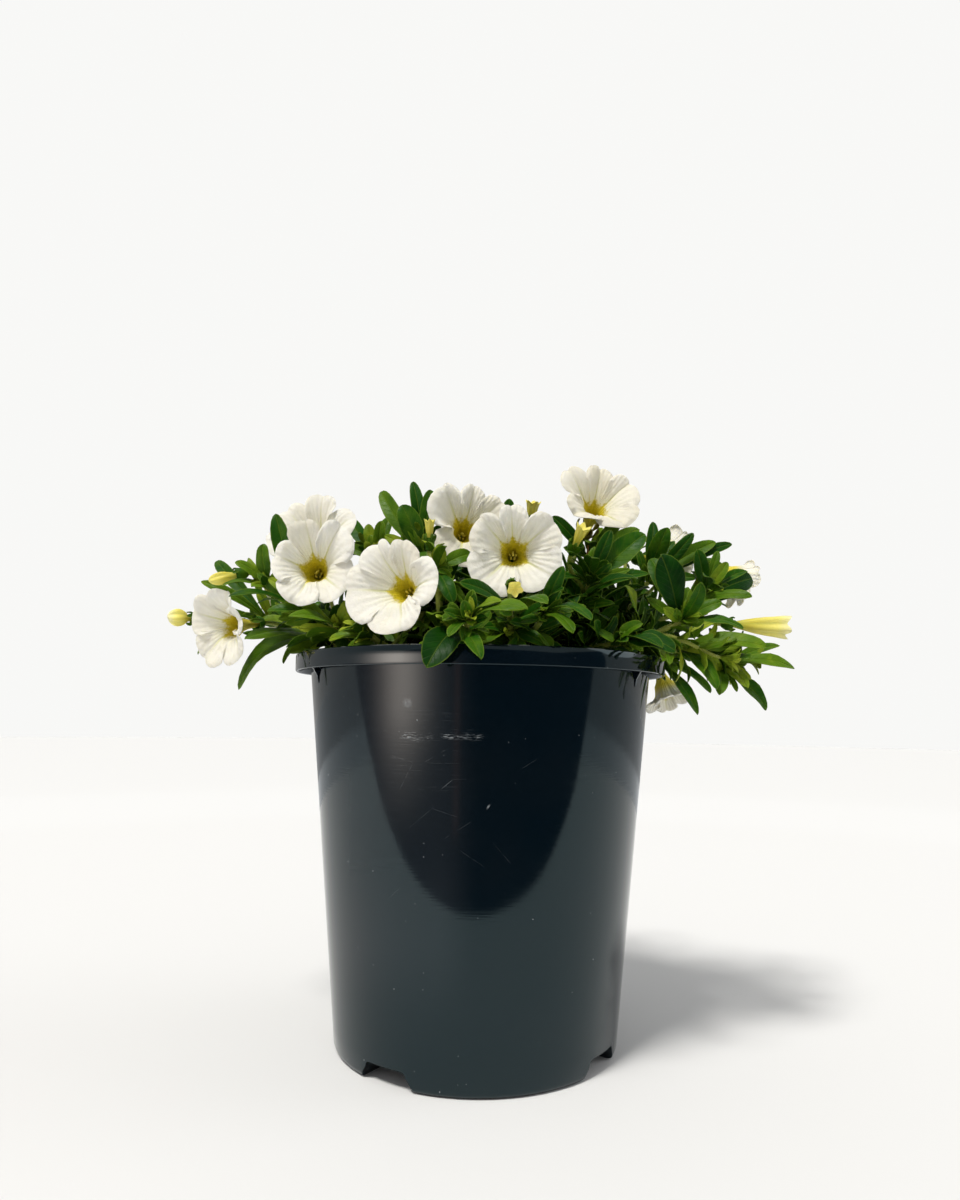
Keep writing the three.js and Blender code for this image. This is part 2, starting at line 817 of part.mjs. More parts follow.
// One drain channel, a bar with a rounded roof from innerRadius outwards, grown by extra on every side.
function channel(angle, extra) {
  const low = CHANNEL.halfWidthLow + extra;
  const high = CHANNEL.halfWidthHigh + extra;
  const top = CHANNEL.height + extra;
  const section = new THREE.Shape();
  section.moveTo(-low, -5);
  section.lineTo(low, -5);
  section.lineTo(low, 0);
  section.lineTo(high + 1.4, top - CHANNEL.cornerDrop);
  section.lineTo(high - 1, top);
  section.lineTo(-high + 1, top);
  section.lineTo(-high - 1.4, top - CHANNEL.cornerDrop);
  section.lineTo(-low, 0);
  const start = CHANNEL.innerRadius - extra;
  const depth = POT.lipRadius - start;
  const block = new THREE.ExtrudeGeometry(section, { depth, bevelEnabled: false, steps: 1 });
  block.rotateX(Math.PI / 2);
  block.translate(0, -start, 0);
  block.rotateZ(rad(angle));
  return solid(block);
}

// A drain hole through a channel's roof.
function drainHole(angle) {
  const drill = new THREE.CylinderGeometry(CHANNEL.holeRadius, CHANNEL.holeRadius, 12, 10);
  drill.rotateX(Math.PI / 2);
  drill.translate(0, -CHANNEL.holeAt, CHANNEL.height);
  drill.rotateZ(rad(angle));
  return solid(drill);
}

// A thin stacking rib under the lip, deepest at the lip and dying out down the wall.
function rib(angle) {
  const top = POT.height - POT.lipTop + 0.4;
  const low = top - RIB.drop;
  const web = new THREE.Shape();
  web.moveTo(outside(top) - 0.7, top);
  web.lineTo(outside(top) + RIB.reach, top);
  web.lineTo(outside(top) + RIB.reach, POT.height - POT.lipDepth + 0.6);
  web.lineTo(outside(low) + 0.2, low);
  web.lineTo(outside(low) - 0.7, low);
  const plate = new THREE.ExtrudeGeometry(web, { depth: RIB.width, bevelEnabled: false, steps: 1 });
  plate.translate(0, 0, -RIB.width / 2);
  plate.rotateX(Math.PI / 2);
  plate.rotateZ(rad(angle) - Math.PI / 2);
  return solid(plate);
}

function makePot() {
  const outer = outerProfile();
  const envelope = turned([...outer, [0, POT.height]], POT.sides);
  const cavity = turned(
    [
      [0, POT.floor],
      [inside(POT.floor) - 2, POT.floor],
      [inside(4), 4],
      [inside(POT.height - 0.5), POT.height - 0.5],
      [inside(POT.height) + 0.5, POT.height],
      [inside(POT.height) + 0.5, POT.height + 1],
      [0, POT.height + 1],
    ],
    POT.sides,
  );
  const hoods = CHANNEL.angles.map((a) => channel(a, POT.wall).intersect(envelope));
  const shell = wasm.Manifold.union([envelope.subtract(cavity), ...hoods, ...RIB.angles.map(rib)]);
  const cuts = CHANNEL.angles.flatMap((a) => [channel(a, 0), drainHole(a)]);
  return cleaned(shell.subtract(wasm.Manifold.union(cuts)).simplify(0.01));
}

// ---------------------------------------------------------------- potting mix

// The height of the mix's surface: a low mound with lumps.
function mixTop(x, y) {
  const r = Math.hypot(x, y) / inside(MIX.top);
  const lumps = 0.8 * Math.sin(x * 0.31 + 1) * Math.cos(y * 0.27) + 0.5 * Math.sin(x * 0.13 - y * 0.19);
  return MIX.top + MIX.mound * (1 - r * r) + lumps * (1 - r ** 4);
}

function makeMix() {
  const ring = (radius, height) =>
    Array.from({ length: MIX.sides }, (_, j) => {
      const a = (j / MIX.sides) * 2 * Math.PI;
      const x = radius * Math.cos(a);
      const y = radius * Math.sin(a);
      return V(x, y, height === undefined ? mixTop(x, y) : height);
    });
  const reach = inside(MIX.top) - GAP;
  const floor = POT.floor + GAP;
  const block = solid(
    skin([
      ring(inside(floor) - 2.4, floor),
      ring(inside(4) - GAP, 4 + GAP),
      ring(reach, MIX.top),
      ...[0.78, 0.5, 0.22].map((share) => ring(reach * share)),
      [V(0, 0, mixTop(0, 0))],
    ]),
  );
  const holes = BRANCHES.map(({ root: [x, y] }) => {
    const radius = (STEM.low + GAP) / Math.cos(Math.PI / MIX.holeSides);
    const drill = new THREE.CylinderGeometry(radius, radius, MIX.holeDepth + 12, MIX.holeSides);
    drill.rotateX(Math.PI / 2);
    drill.translate(x, y, MIX.top - MIX.holeDepth / 2 + 6);
    return solid(drill);
  });
  const hoods = CHANNEL.angles.map((a) => channel(a, POT.wall + GAP));
  return block.subtract(wasm.Manifold.union([...holes, ...hoods])).simplify(0.01);
}

// ---------------------------------------------------------------- stems

// The line of a shoot: up out of its hole, then an arch that ends at its tip with its own heading.
function shootLine({ root: [x, y] }, shoot) {
  const start = V(x, y, MIX.top + STEM.fork);
  const tip = V(...shoot.tip);
  const bearing = THREE.MathUtils.radToDeg(Math.atan2(tip.x - x, -(tip.y - y)));
  const knee = start.clone().addScaledVector(heading(bearing, 62), shoot.climb);
  const pull = start.distanceTo(tip) * 0.36;
  const before = tip.clone().addScaledVector(heading(bearing, shoot.heading), -pull);
  return new THREE.CubicBezierCurve3(start, knee, before, tip);
}

// The part of a branch that stands in the mix, up to where its shoots leave.
function trunkSolid({ root: [x, y] }) {
  const points = [V(x, y, MIX.top - MIX.holeDepth + 1), V(x, y, MIX.top + STEM.fork + 1.5)];
  return solid(skin(barRings(points, [STEM.low, STEM.low], STEM.sides).rings));
}

function shootSolid(line) {
  const points = line.getPoints(STEM.steps);
  const radii = points.map((_, i) => lerp(STEM.low, STEM.high, i / STEM.steps));
  return solid(skin(barRings(points, radii, STEM.sides).rings));
}

// The line of a flower's stalk, from its shoot to the foot of its calyx.
function stalkLine(line, share, foot, facing) {
  const start = line.getPoint(share);
  const along = line.getTangent(share);
  const reach = start.distanceTo(foot) * 0.45;
  const leave = squareTo(facing, along).lerp(along, 0.5).normalize();
  const arrive = foot.clone().addScaledVector(facing, -reach);
  return new THREE.CubicBezierCurve3(start, start.clone().addScaledVector(leave, reach), arrive, foot);
}

// A flower's stalk and the cup of its calyx in one body: five-sided, opening round the base of the
// flower.
function stalkSolid(line, base, facing, bore, length) {
  const points = line.getPoints(STALK.steps);
  const radii = points.map((_, i) => lerp(STALK.low, STALK.high, i / STALK.steps));
  const { rings, across } = barRings(points, radii, 5);
  const side = squareTo(across, facing);
  const cup = [
    [bore + 0.9, -0.6],
    [bore + 1.7, length],
    [bore + 0.8, length],
    [bore, -0.1],
  ];
  const above = (z) => base.clone().addScaledVector(facing, z);
  const cupRings = cup.map(([r, z]) => ringAround(above(z), facing, side, r, 5));
  return solid(skin([...rings, ...cupRings]));
}

// ---------------------------------------------------------------- leaves

// Half the width of a leaf at u, the share of its length from stalk to tip: a narrow foot, widest past
// the middle, with a blunt tip.
function leafShape(u) {
  const rise = LEAF.petiole + (1 - LEAF.petiole) * smoothstep(u, 0.04, LEAF.widest);
  const past = Math.max(u - LEAF.widest, 0) / (1 - LEAF.widest);
  return rise * (1 - past ** 2.1) ** 0.62;
}

// The rings of a blade from its foot to its tip. face is the way its upper side looks, arch how far it
// bows that way as a share of its length, and grow makes it thicker and wider all round.
function leafRings({ foot, tip, face, width, arch }, from = 0, grow = 0) {
  const chord = tip.clone().sub(foot);
  const length = chord.length();
  const up = squareTo(face, chord.clone().normalize());
  const side = chord.clone().normalize().cross(up);
  const bow = (u) => 4 * u * (1 - u) * arch * length;
  const stations = length > LONG_LEAF ? LONG_STATIONS : SHORT_STATIONS;
  const rings = stations
    .filter((u) => u >= from)
    .map((u) => {
      const middle = foot.clone().addScaledVector(chord, u).addScaledVector(up, bow(u));
      const half = (width / 2) * leafShape(u) + 1.5 * grow;
      const edge = middle.clone().addScaledVector(up, grow);
      return [
        edge.clone().addScaledVector(side, -half),
        edge.clone().addScaledVector(side, half),
        middle.clone().addScaledVector(up, -LEAF.keel - grow),
      ];
    });
  const end = tip.clone().addScaledVector(chord, (1.5 * grow) / length);
  return [...rings, [end]];
}

const leafSolid = (leaf, from, grow) => solid(skin(leafRings(leaf, from, grow)));

// Angles in rising order round a circle, pushed apart until neighbours are at least so far from each other.
function spacedOut(angles, least) {
  const spaced = [...angles];
  for (let round = 0; round < 60; round++) {
    spaced.forEach((angle, i) => {
      const next = (i + 1) % spaced.length;
      const gap = spaced[next] - spaced[i] + (next === 0 ? 2 * Math.PI : 0);
      const lack = Math.max(least - gap, 0) / 2;
      spaced[i] -= lack;
      spaced[next] += lack;
    });
  }
  return spaced;
}

// The angles of some ways round an axis, in rising order, each with its index and its sine to the axis.
function fanOf(ways, axis) {
  const zero = squareTo(V(1, 0.2, 0.1), axis);
  const quarter = axis.clone().cross(zero);
  return ways
    .map((way, i) => {
      const [x, y] = [way.dot(zero), way.dot(quarter)];
      return { i, angle: Math.atan2(y, x), sine: Math.hypot(x, y), along: way.dot(axis) };
    })
    .sort((a, b) => a.angle - b.angle);
}

// The gap from each of a fan's angles to the next.
const gapsOf = (fan) =>
  fan.map(({ angle }, i) => (i + 1 < fan.length ? fan[i + 1].angle : fan[0].angle + 2 * Math.PI) - angle);

// The axis round which some ways stand furthest apart and furthest from the axis itself.
function bestAxis(ways) {
  const score = (axis) => {
    const fan = fanOf(ways, axis);
    const apart = Math.min(...gapsOf(fan)) / WHORL.apart;
    const flat = Math.min(...fan.map(({ sine, along }) => (along < -0.4 ? 0 : sine / WHORL.spread)));
    return Math.min(apart, 1) + Math.min(flat, 1);
  };
  const tries = Array.from({ length: 400 }, (_, k) => {
    const z = 1 - (2 * k + 1) / 400;
    return V(Math.sqrt(1 - z * z) * Math.cos(2.4 * k), Math.sqrt(1 - z * z) * Math.sin(2.4 * k), z);
  });
  return tries.map((axis) => ({ axis, worth: score(axis) })).reduce((a, b) => (b.worth > a.worth ? b : a)).axis;
}

// The rings of a leaf, each begun at the corner that sits straightest on the leaf's foot, so that the blade has no
// more twist than it needs.
function untwisted(rings, foot, way) {
  const spokes = (ring) => {
    const middle = ring.reduce((sum, p) => sum.clone().add(p)).clone().divideScalar(3);
    return ring.map((p) => squareTo(p.clone().sub(middle), way));
  };
  const from = spokes(foot);
  const to = spokes(rings[0]);
  const fit = (turn) => from.reduce((sum, spoke, j) => sum + spoke.dot(to[(j + turn) % 3]), 0);
  const best = [0, 1, 2].reduce((a, b) => (fit(b) > fit(a) ? b : a));
  return rings.map((ring) => (ring.length === 3 ? [0, 1, 2].map((j) => ring[(j + best) % 3]) : ring));
}

// A quad split along the diagonal that makes it bulge outwards.
function bulging(points, a, b, c, d) {
  const [p, q, r, s] = [a, b, c, d].map((k) => points[k]);
  const edge = q.clone().sub(p).cross(r.clone().sub(p));
  return edge.dot(s.clone().sub(p)) > 0 ? [[a, b, d], [b, c, d]] : [[a, b, c], [a, c, d]];
}

// A whorl of three leaves or more on one hub. Neighbouring leaves share the corner of the hub that lies between
// them, and a wide gap is closed by blank sides, so the whole whorl is one closed body.
function whorlSolid(centre, leaves) {
  const ways = leaves.map(({ foot, tip }) => tip.clone().sub(foot).normalize());
  const axis = bestAxis(ways);
  const zero = squareTo(V(1, 0.2, 0.1), axis);
  const quarter = axis.clone().cross(zero);
  const fan = fanOf(ways, axis);
  const gaps = gapsOf(fan);
  const sides = fan.flatMap(({ i, angle }, k) => {
    const blanks = Math.ceil(gaps[k] / WHORL.widest) - 1;
    const blank = (n) => ({ angle: angle + (gaps[k] * (n + 1)) / (blanks + 1) });
    return [{ leaf: leaves[i], way: ways[i], angle }, ...Array.from({ length: blanks }, (_, n) => blank(n))];
  });
  const count = sides.length;
  const feet = spacedOut(sides.map(({ angle }) => angle), WHORL.apart);
  const onHub = (angle, height) =>
    centre
      .clone()
      .addScaledVector(zero, WHORL.hub * Math.cos(angle))
      .addScaledVector(quarter, WHORL.hub * Math.sin(angle))
      .addScaledVector(axis, height);
  const points = [
    centre.clone().addScaledVector(axis, WHORL.rise),
    centre.clone().addScaledVector(axis, -WHORL.drop - WHORL.rise),
  ];
  feet.forEach((angle, i) => {
    const next = i + 1 < count ? feet[i + 1] : feet[0] + 2 * Math.PI;
    points.push(onHub((angle + next) / 2, 0), onHub(angle, -WHORL.drop));
  });
  const corner = (i) => 2 + 2 * ((i + count) % count);
  const keel = (i) => 3 + 2 * ((i + count) % count);
  const faces = [];
  sides.forEach(({ leaf, way }, i) => {
    faces.push([0, corner(i - 1), corner(i)]);
    faces.push([1, keel(i + 1), keel(i)]);
    faces.push([corner(i), keel(i), keel(i + 1)]);
    let before = [corner(i), corner(i - 1), keel(i)];
    if (!leaf) {
      faces.push(before);
      return;
    }
    const foot = before.map((k) => points[k]);
    for (const ring of untwisted(leafRings(leaf, 0.2), foot, way)) {
      const here = ring.map((point) => points.push(point) - 1);
      for (let j = 0; j < 3; j++) {
        const k = (j + 1) % 3;
        if (here.length === 1) faces.push([before[j], before[k], here[0]]);
        else faces.push(...bulging(points, before[j], before[k], here[k], here[j]));
      }
      before = here;
    }
  });
  const geometry = new THREE.BufferGeometry().setFromPoints(points);
  geometry.setIndex(faces.flat());
  return solid(geometry);
}

// The ways in which a leaf may be bent to stay clear of its neighbours: turned about its foot up or
// down, then sideways, then drawn in. The first way leaves it as it is.
const BENDS = [
  [0, 0, 1],
  [14, 0, 1],
  [-14, 0, 1],
  [0, 16, 1],
  [0, -16, 1],
  [22, 22, 0.94],
  [22, -22, 0.94],
  [-20, 26, 0.9],
  [-20, -26, 0.9],
  [34, 0, 0.8],
  [0, 40, 0.8],
  [0, -40, 0.8],
];

function bent(leaf, [lift, swing, share]) {
  const chord = leaf.tip.clone().sub(leaf.foot);
  const along = chord.clone().normalize();
  const up = squareTo(leaf.face, along);
  const side = along.clone().cross(up);
  chord.applyAxisAngle(side, rad(lift)).applyAxisAngle(up, rad(swing)).multiplyScalar(share);
  return { ...leaf, tip: leaf.foot.clone().add(chord), width: leaf.width * (0.5 + share / 2) };
}

// The leaves of one of a shoot's whorls, spread evenly round the stem: the younger the whorl, the
// shorter and the more upright its leaves.
function whorlLeaves(line, shoot, seed, w) {
  const share = shoot.whorls[w];
  const centre = line.getPoint(share);
  const along = line.getTangent(share);
  const zero = squareTo(V(0.2, 0.3, 1), along);
  return Array.from({ length: shoot.around }, (_, k) => {
    const draw = (n) => chance(seed, 50 * w + 10 * k + n);
    const turn = (360 * k) / shoot.around + 70 * w + 360 * chance(seed, 0) + 24 * (draw(1) - 0.5);
    const out = zero.clone().applyAxisAngle(along, rad(turn));
    const spread = rad(lerp(76, 34, share ** 2) + 22 * (draw(2) - 0.5));
    const way = along.clone().multiplyScalar(Math.cos(spread)).addScaledVector(out, Math.sin(spread));
    way.z = Math.max(way.z, -0.3);
    way.normalize();
    const size = shoot.leaf * lerp(1.1, 0.72, share ** 3) * (0.85 + 0.3 * draw(3));
    const face = along.clone().multiplyScalar(Math.sin(spread)).addScaledVector(out, -Math.cos(spread));
    return {
      foot: centre,
      tip: centre.clone().addScaledVector(way, size),
      face,
      width: size * (0.26 + 0.1 * draw(4)),
      arch: 0.04 + 0.1 * draw(5),
    };
  });
}

// ---------------------------------------------------------------- blooms, buds and calyxes

// A frame at the base of a flower, its Z axis along the way the flower faces.
function flowerFrame(base, facing) {
  const across = squareTo(V(0, 0, 1), facing).cross(facing).normalize();
  const other = facing.clone().cross(across);
  return (x, y, z) =>
    base.clone().addScaledVector(across, x).addScaledVector(other, y).addScaledVector(facing, z);
}

// The rim of a bloom as a list of [angle, radius, lean]: for each petal the notch before it, a
// shoulder, its middle and the other shoulder.
function rimPoints(petals) {
  return petals.flatMap(([angle, reach, lean], i) => {
    const [angleBefore, reachBefore, leanBefore] = petals.at(i - 1);
    const [angleAfter] = petals[(i + 1) % petals.length];
    const before = angle - ((((angle - angleBefore) % 360) + 360) % 360) / 2;
    const after = angle + ((((angleAfter - angle) % 360) + 360) % 360) / 2;
    return [
      [before, ((reach + reachBefore) / 2) * BLOOM.notch, (lean + leanBefore) / 2 - 0.8],
      [lerp(before, angle, 0.45), reach * BLOOM.shoulder, lean + 0.4],
      [angle, reach, lean],
      [lerp(angle, after, 0.55), reach * BLOOM.shoulder, lean + 0.4],
    ];
  });
}

// The base of a bloom's tube.
function bloomBase({ rim, faces }) {
  return V(...rim).addScaledVector(heading(...faces), -BLOOM.depth);
}

// A trumpet with a wall: up the outside from the base to the petals' rim, then down the inside to the
// throat.
function bloomSolid(bloom) {
  const at = flowerFrame(bloomBase(bloom), heading(...bloom.faces));
  const rim = rimPoints(bloom.petals);
  const [share, limbHeight] = BLOOM.limb;
  const w = BLOOM.wall;
  const point = (angle, radius, height) => {
    const a = rad(angle);
    return at(radius * Math.cos(a), radius * Math.sin(a), height);
  };
  const round = ([radius, height], inset = 0) => rim.map(([angle]) => point(angle, radius - inset, height));
  const limb = (rise) =>
    rim.map(([angle, reach, lean]) =>
      point(angle, lerp(BLOOM.mouth[0], reach, share), limbHeight + rise + share * lean),
    );
  const edge = rim.map(([angle, reach, lean]) => point(angle, reach, BLOOM.depth + lean));
  const rings = [
    round(BLOOM.neck),
    round(BLOOM.tube),
    round(BLOOM.mouth),
    limb(0),
    edge,
    limb(w),
    round([BLOOM.mouth[0], BLOOM.mouth[1] + 0.3], w),
    [at(0, 0, BLOOM.tube[1])],
  ];
  return solid(skin(rings, 4));
}

// A bud: a fluted spindle that ends in a point, or in five lobes that just part round a small mouth.
function budSolid({ tip, points: [bearing, slope], length, across, shape }) {
  const facing = heading(bearing, slope);
  const at = flowerFrame(V(...tip).addScaledVector(facing, -length), facing);
  const ring = ([radius, share, teeth]) =>
    Array.from({ length: 10 }, (_, j) => {
      const turn = (j / 10) * 2 * Math.PI;
      const r = (radius * across) / 2;
      return at(r * Math.cos(turn), r * Math.sin(turn), share * length + (j % 2 === 0 ? teeth : -teeth));
    });
  const { rings, apex } = BUD_SHAPES[shape];
  const neck = ([radius, height]) => ring([(2 * radius) / across, height / length, 0]);
  return solid(skin([...BUD_NECK.map(neck), ...rings.map(ring), [at(0, 0, apex * length)]]));
}

// ---------------------------------------------------------------- growing the plant

const pot = makePot();
const mix = makeMix();

// Everything placed so far, for the test that a new leaf stays clear.
const placed = [];

function boxOf(made) {
  const { min, max } = made.boundingBox();
  return new THREE.Box3(V(...min), V(...max));
}

function place(made, branch, kind) {
  placed.push({ made, branch, kind, box: boxOf(made) });
}

// True if two solids share material.
function meets(a, b) {
  return a.intersect(b).volume() > 1e-4;
}

// True if a leaf keeps the gap to every other node and, beyond its foot, crosses nothing of its own
// branch but a stem.
function isClear(leaf, branch) {
  const fat = leafSolid(leaf, 0, GAP + 0.05);
  const fatBox = boxOf(fat);
  const outer = leafSolid(leaf, 0.25, 0);
  return placed.every(({ made, branch: other, kind, box }) => {
    if (!box.intersectsBox(fatBox)) return true;
    if (other !== branch) return !meets(fat, made);
    return kind === "stem" || !meets(outer, made);
  });
}

place(pot, "pot", "pot");
place(mix, "mix", "mix");

const pieces = new Map(BRANCHES.map((b) => [b.name, []]));
const lines = new Map(BRANCHES.map((b) => [b.name, b.shoots.map((s) => shootLine(b, s))]));

function grow(branch, made, kind) {
  pieces.get(branch).push(made);
  place(made, branch, kind);
}

for (const branch of BRANCHES) {
  grow(branch.name, trunkSolid(branch), "stem");
  lines.get(branch.name).forEach((line) => grow(branch.name, shootSolid(line), "stem"));
}

// A flower's stalk and calyx are green and belong to the branch that bears it.
function bear({ on: [branch, shoot, share] }, base, facing, bore, length) {
  const foot = base.clone().addScaledVector(facing, -STALK.foot);
  const line = stalkLine(lines.get(branch)[shoot], share, foot, facing);
  grow(branch, stalkSolid(line, base, facing, bore, length), "stalk");
}

const flowers = [];
BLOOMS.forEach((bloom) => {
  bear(bloom, bloomBase(bloom), heading(...bloom.faces), CALYX.bore, CALYX.length);
  flowers.push({ name: bloom.name, made: bloomSolid(bloom), colour: WHITE });
});
BUDS.forEach((bud) => {
  const facing = heading(...bud.points);
  const base = V(...bud.tip).addScaledVector(facing, -bud.length);
  bear(bud, base, facing, CALYX.budBore, CALYX.budLength);
  flowers.push({ name: bud.name, made: budSolid(bud), colour: YELLOW });
});
flowers.forEach(({ name, made }) => place(made, name, "flower"));

// The first bend of a leaf that stays clear, or nothing if none does.
const settle = (branch, leaf) => BENDS.map((bend) => bent(leaf, bend)).find((l) => isClear(l, branch));

// A whorl keeps the leaves that stay clear of all else and of each other. A pair or a lone leaf has no
// hub.
function growWhorl(branch, centre, leaves) {
  const kept = [];
  for (const planned of leaves) {
    const leaf = settle(branch, planned);
    if (!leaf) continue;
    kept.push(leaf);
    place(leafSolid(leaf, 0, 0), branch, "leaf");
  }
  if (kept.length > 2) pieces.get(branch).push(whorlSolid(centre, kept));
  else kept.forEach((leaf) => pieces.get(branch).push(leafSolid(leaf, 0, 0)));
}

for (const { on: [branch, shoot, share], leaves } of SET_WHORLS) {
  const line = lines.get(branch)[shoot];
  const foot = line.getPoint(share);
  const planned = leaves.map(([tip, width, look, arch]) => {
    return { foot, tip: V(...tip), face: heading(...look), width, arch };
  });
  growWhorl(branch, foot, planned);
}

BRANCHES.forEach((branch, b) => {
  branch.shoots.forEach((shoot, s) => {
    const line = lines.get(branch.name)[s];
    shoot.whorls.forEach((share, w) => {
      const leaves = whorlLeaves(line, shoot, b * 7 + s, w);
      growWhorl(branch.name, line.getPoint(share), leaves);
    });
  });
});

// ---------------------------------------------------------------- the group

const plant = new THREE.Group();

function add(name, made, color, roughness) {
  const material = new THREE.MeshStandardMaterial({ color, roughness, metalness: 0 });
  const mesh = new THREE.Mesh(geometryOf(made), material);
  mesh.name = name;
  plant.add(mesh);
}

add("pot", pot, 0x14171b, 0.35);
add("potting_mix", mix, 0x2a1d14, 0.95);
for (const [name, solids] of pieces) add(name, joined(solids), GREEN, 0.6);
for (const { name, made, colour } of flowers) add(name, made, colour, 0.6);

export default plant;
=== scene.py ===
import math
from collections import namedtuple

import bpy
import numpy as np
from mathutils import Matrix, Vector


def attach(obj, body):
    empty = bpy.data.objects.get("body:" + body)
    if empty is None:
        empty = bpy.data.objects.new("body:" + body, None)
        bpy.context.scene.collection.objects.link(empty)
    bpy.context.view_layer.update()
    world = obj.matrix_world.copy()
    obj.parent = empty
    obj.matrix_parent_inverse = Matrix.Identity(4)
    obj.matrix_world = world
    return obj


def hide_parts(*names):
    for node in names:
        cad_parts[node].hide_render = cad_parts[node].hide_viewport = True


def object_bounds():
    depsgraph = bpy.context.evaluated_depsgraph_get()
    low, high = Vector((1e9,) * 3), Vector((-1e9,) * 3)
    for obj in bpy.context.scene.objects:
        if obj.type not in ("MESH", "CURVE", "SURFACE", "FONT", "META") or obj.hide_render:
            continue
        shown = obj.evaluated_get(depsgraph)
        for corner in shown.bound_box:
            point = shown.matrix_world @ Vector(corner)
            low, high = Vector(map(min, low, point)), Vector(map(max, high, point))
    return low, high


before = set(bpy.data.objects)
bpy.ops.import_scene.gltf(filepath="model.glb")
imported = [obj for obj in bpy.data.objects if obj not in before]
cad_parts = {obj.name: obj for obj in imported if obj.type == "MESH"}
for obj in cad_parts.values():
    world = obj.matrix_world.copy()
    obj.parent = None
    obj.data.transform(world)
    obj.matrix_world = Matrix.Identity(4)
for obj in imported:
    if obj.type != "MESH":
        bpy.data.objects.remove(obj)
cad_low, cad_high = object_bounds()
low_mm, high_mm = np.array(cad_low) * 1000, np.array(cad_high) * 1000

# ---------------------------------------------------------------- sizes, in millimetres and degrees

POT = {"height": 172.4, "lip": 82.5, "lip_depth": 7.4, "lip_wall": 1.3, "shoulder": 76.3, "base": 63.6,
       "wall": 1.3, "floor": 1.8}
POT_SIDES = 180
CHANNEL = {"angles": (-34, 56, 146, 236), "height": 8, "low": 13.6, "high": 8.8, "inner": 40, "hole": 4,
           "hole_at": 51}
RIB = {"angles": (-63, 57, 177), "width": 1.2, "drop": 12, "reach": 5.2}
MIX = {"top": 160, "mound": 2.2}
STEM = {"low": 1.8, "high": 1.0, "fork": 4}
STALK = {"low": 0.8, "high": 1.0, "foot": 1.6}
LEAF = {"keel": 0.85, "petiole": 0.2, "widest": 0.6}
BLOOM_DEPTH = 24
THROAT = 5.9  # how far the yellow spreads from a bloom's axis

# A branch stands at its root and forks into shoots: the tip, how high it climbs before it leans, and the
# slope of its tip.
BRANCHES = {
    "left": ((-34, -14), (((-93, -22, 202), 8, 42), ((-104, 18, 191), 8, 15))),
    "left_front": ((-24, -34), (((-66, -40, 188), 8, 50), ((-46, -54, 180), 8, 40))),
    "centre_left": ((-16, -8), (((-26, -26, 220), 26, 76), ((-54, 14, 226), 26, 50))),
    "front": ((-13, -44), (((-18, -58, 208), 20, 74), ((-4, -84, 181), 10, 20))),
    "front_right": ((12, -34), (((11, -66, 190), 16, 60), ((24, -64, 186), 12, 40))),
    "right_front": ((26, -20), (((46, -40, 206), 22, 60), ((56, -50, 176), 10, 0))),
    "right_low": ((38, -10), (((86, -34, 189), 12, 30), ((106, -20, 168), 26, -30))),
    "right": ((36, 8), (((104, -3, 206), 26, 45), ((92, 22, 173), 20, -20))),
    "right_back": ((20, 22), (((88, 14, 220), 34, 50), ((78, 52, 204), 28, 25))),
    "top": ((4, -12), (((12, 0, 230), 34, 80), ((52, -4, 226), 30, 62))),
    "back": ((4, 34), (((12, 50, 232), 36, 65), ((26, 90, 190), 20, 5), ((-16, 84, 206), 26, 25))),
    "back_left": ((-20, 22), (((-30, 46, 228), 34, 60), ((-62, 70, 192), 20, 5), ((-92, 38, 200), 22, 15))),
}

# How light a branch's leaves and stems are, from 0, dark green, to 1, yellow-green.
BRANCH_TONE = {
    "left": 0.62, "left_front": 0.6, "centre_left": 0.55, "front": 0.55, "front_right": 0.4,
    "right_front": 0.34, "right_low": 0.66, "right": 0.5, "right_back": 0.44, "top": 0.42, "back": 0.45,
    "back_left": 0.45,
}

# Leafy sprigs that leave a shoot on the way: the shoot, where on it, the sprig's tip, how much lighter it is.
SPRIGS = {
    "right_low": ((1, 0.6, (113, -18, 175), 0.2), (0, 0.7, (99, -38, 172), 0.15)),
    "right": ((1, 0.55, (97, 10, 186), -0.1), (0, 0.35, (70, 8, 200), -0.25)),
    "left_front": ((0, 0.45, (-74, -28, 190), 0.15),),
}

# Whorls of leaves as (where on the stem, how many, their length). Side shoots have only where.
SHOOT_WHORLS = ((0.16, 4, 22), (0.3, 4, 24), (0.44, 4, 21), (0.57, 4, 19), (0.7, 4, 18), (0.86, 4, 14),
                (0.985, 6, 9))
SPRIG_WHORLS = ((0.4, 4, 17), (0.68, 4, 16), (0.97, 5, 11))
TWIG_WHORLS = (0.3, 0.52, 0.74, 0.96)
TWIG_TRIES = 30
YOUNG = 12  # a whorl's leaves shorter than this are young ones

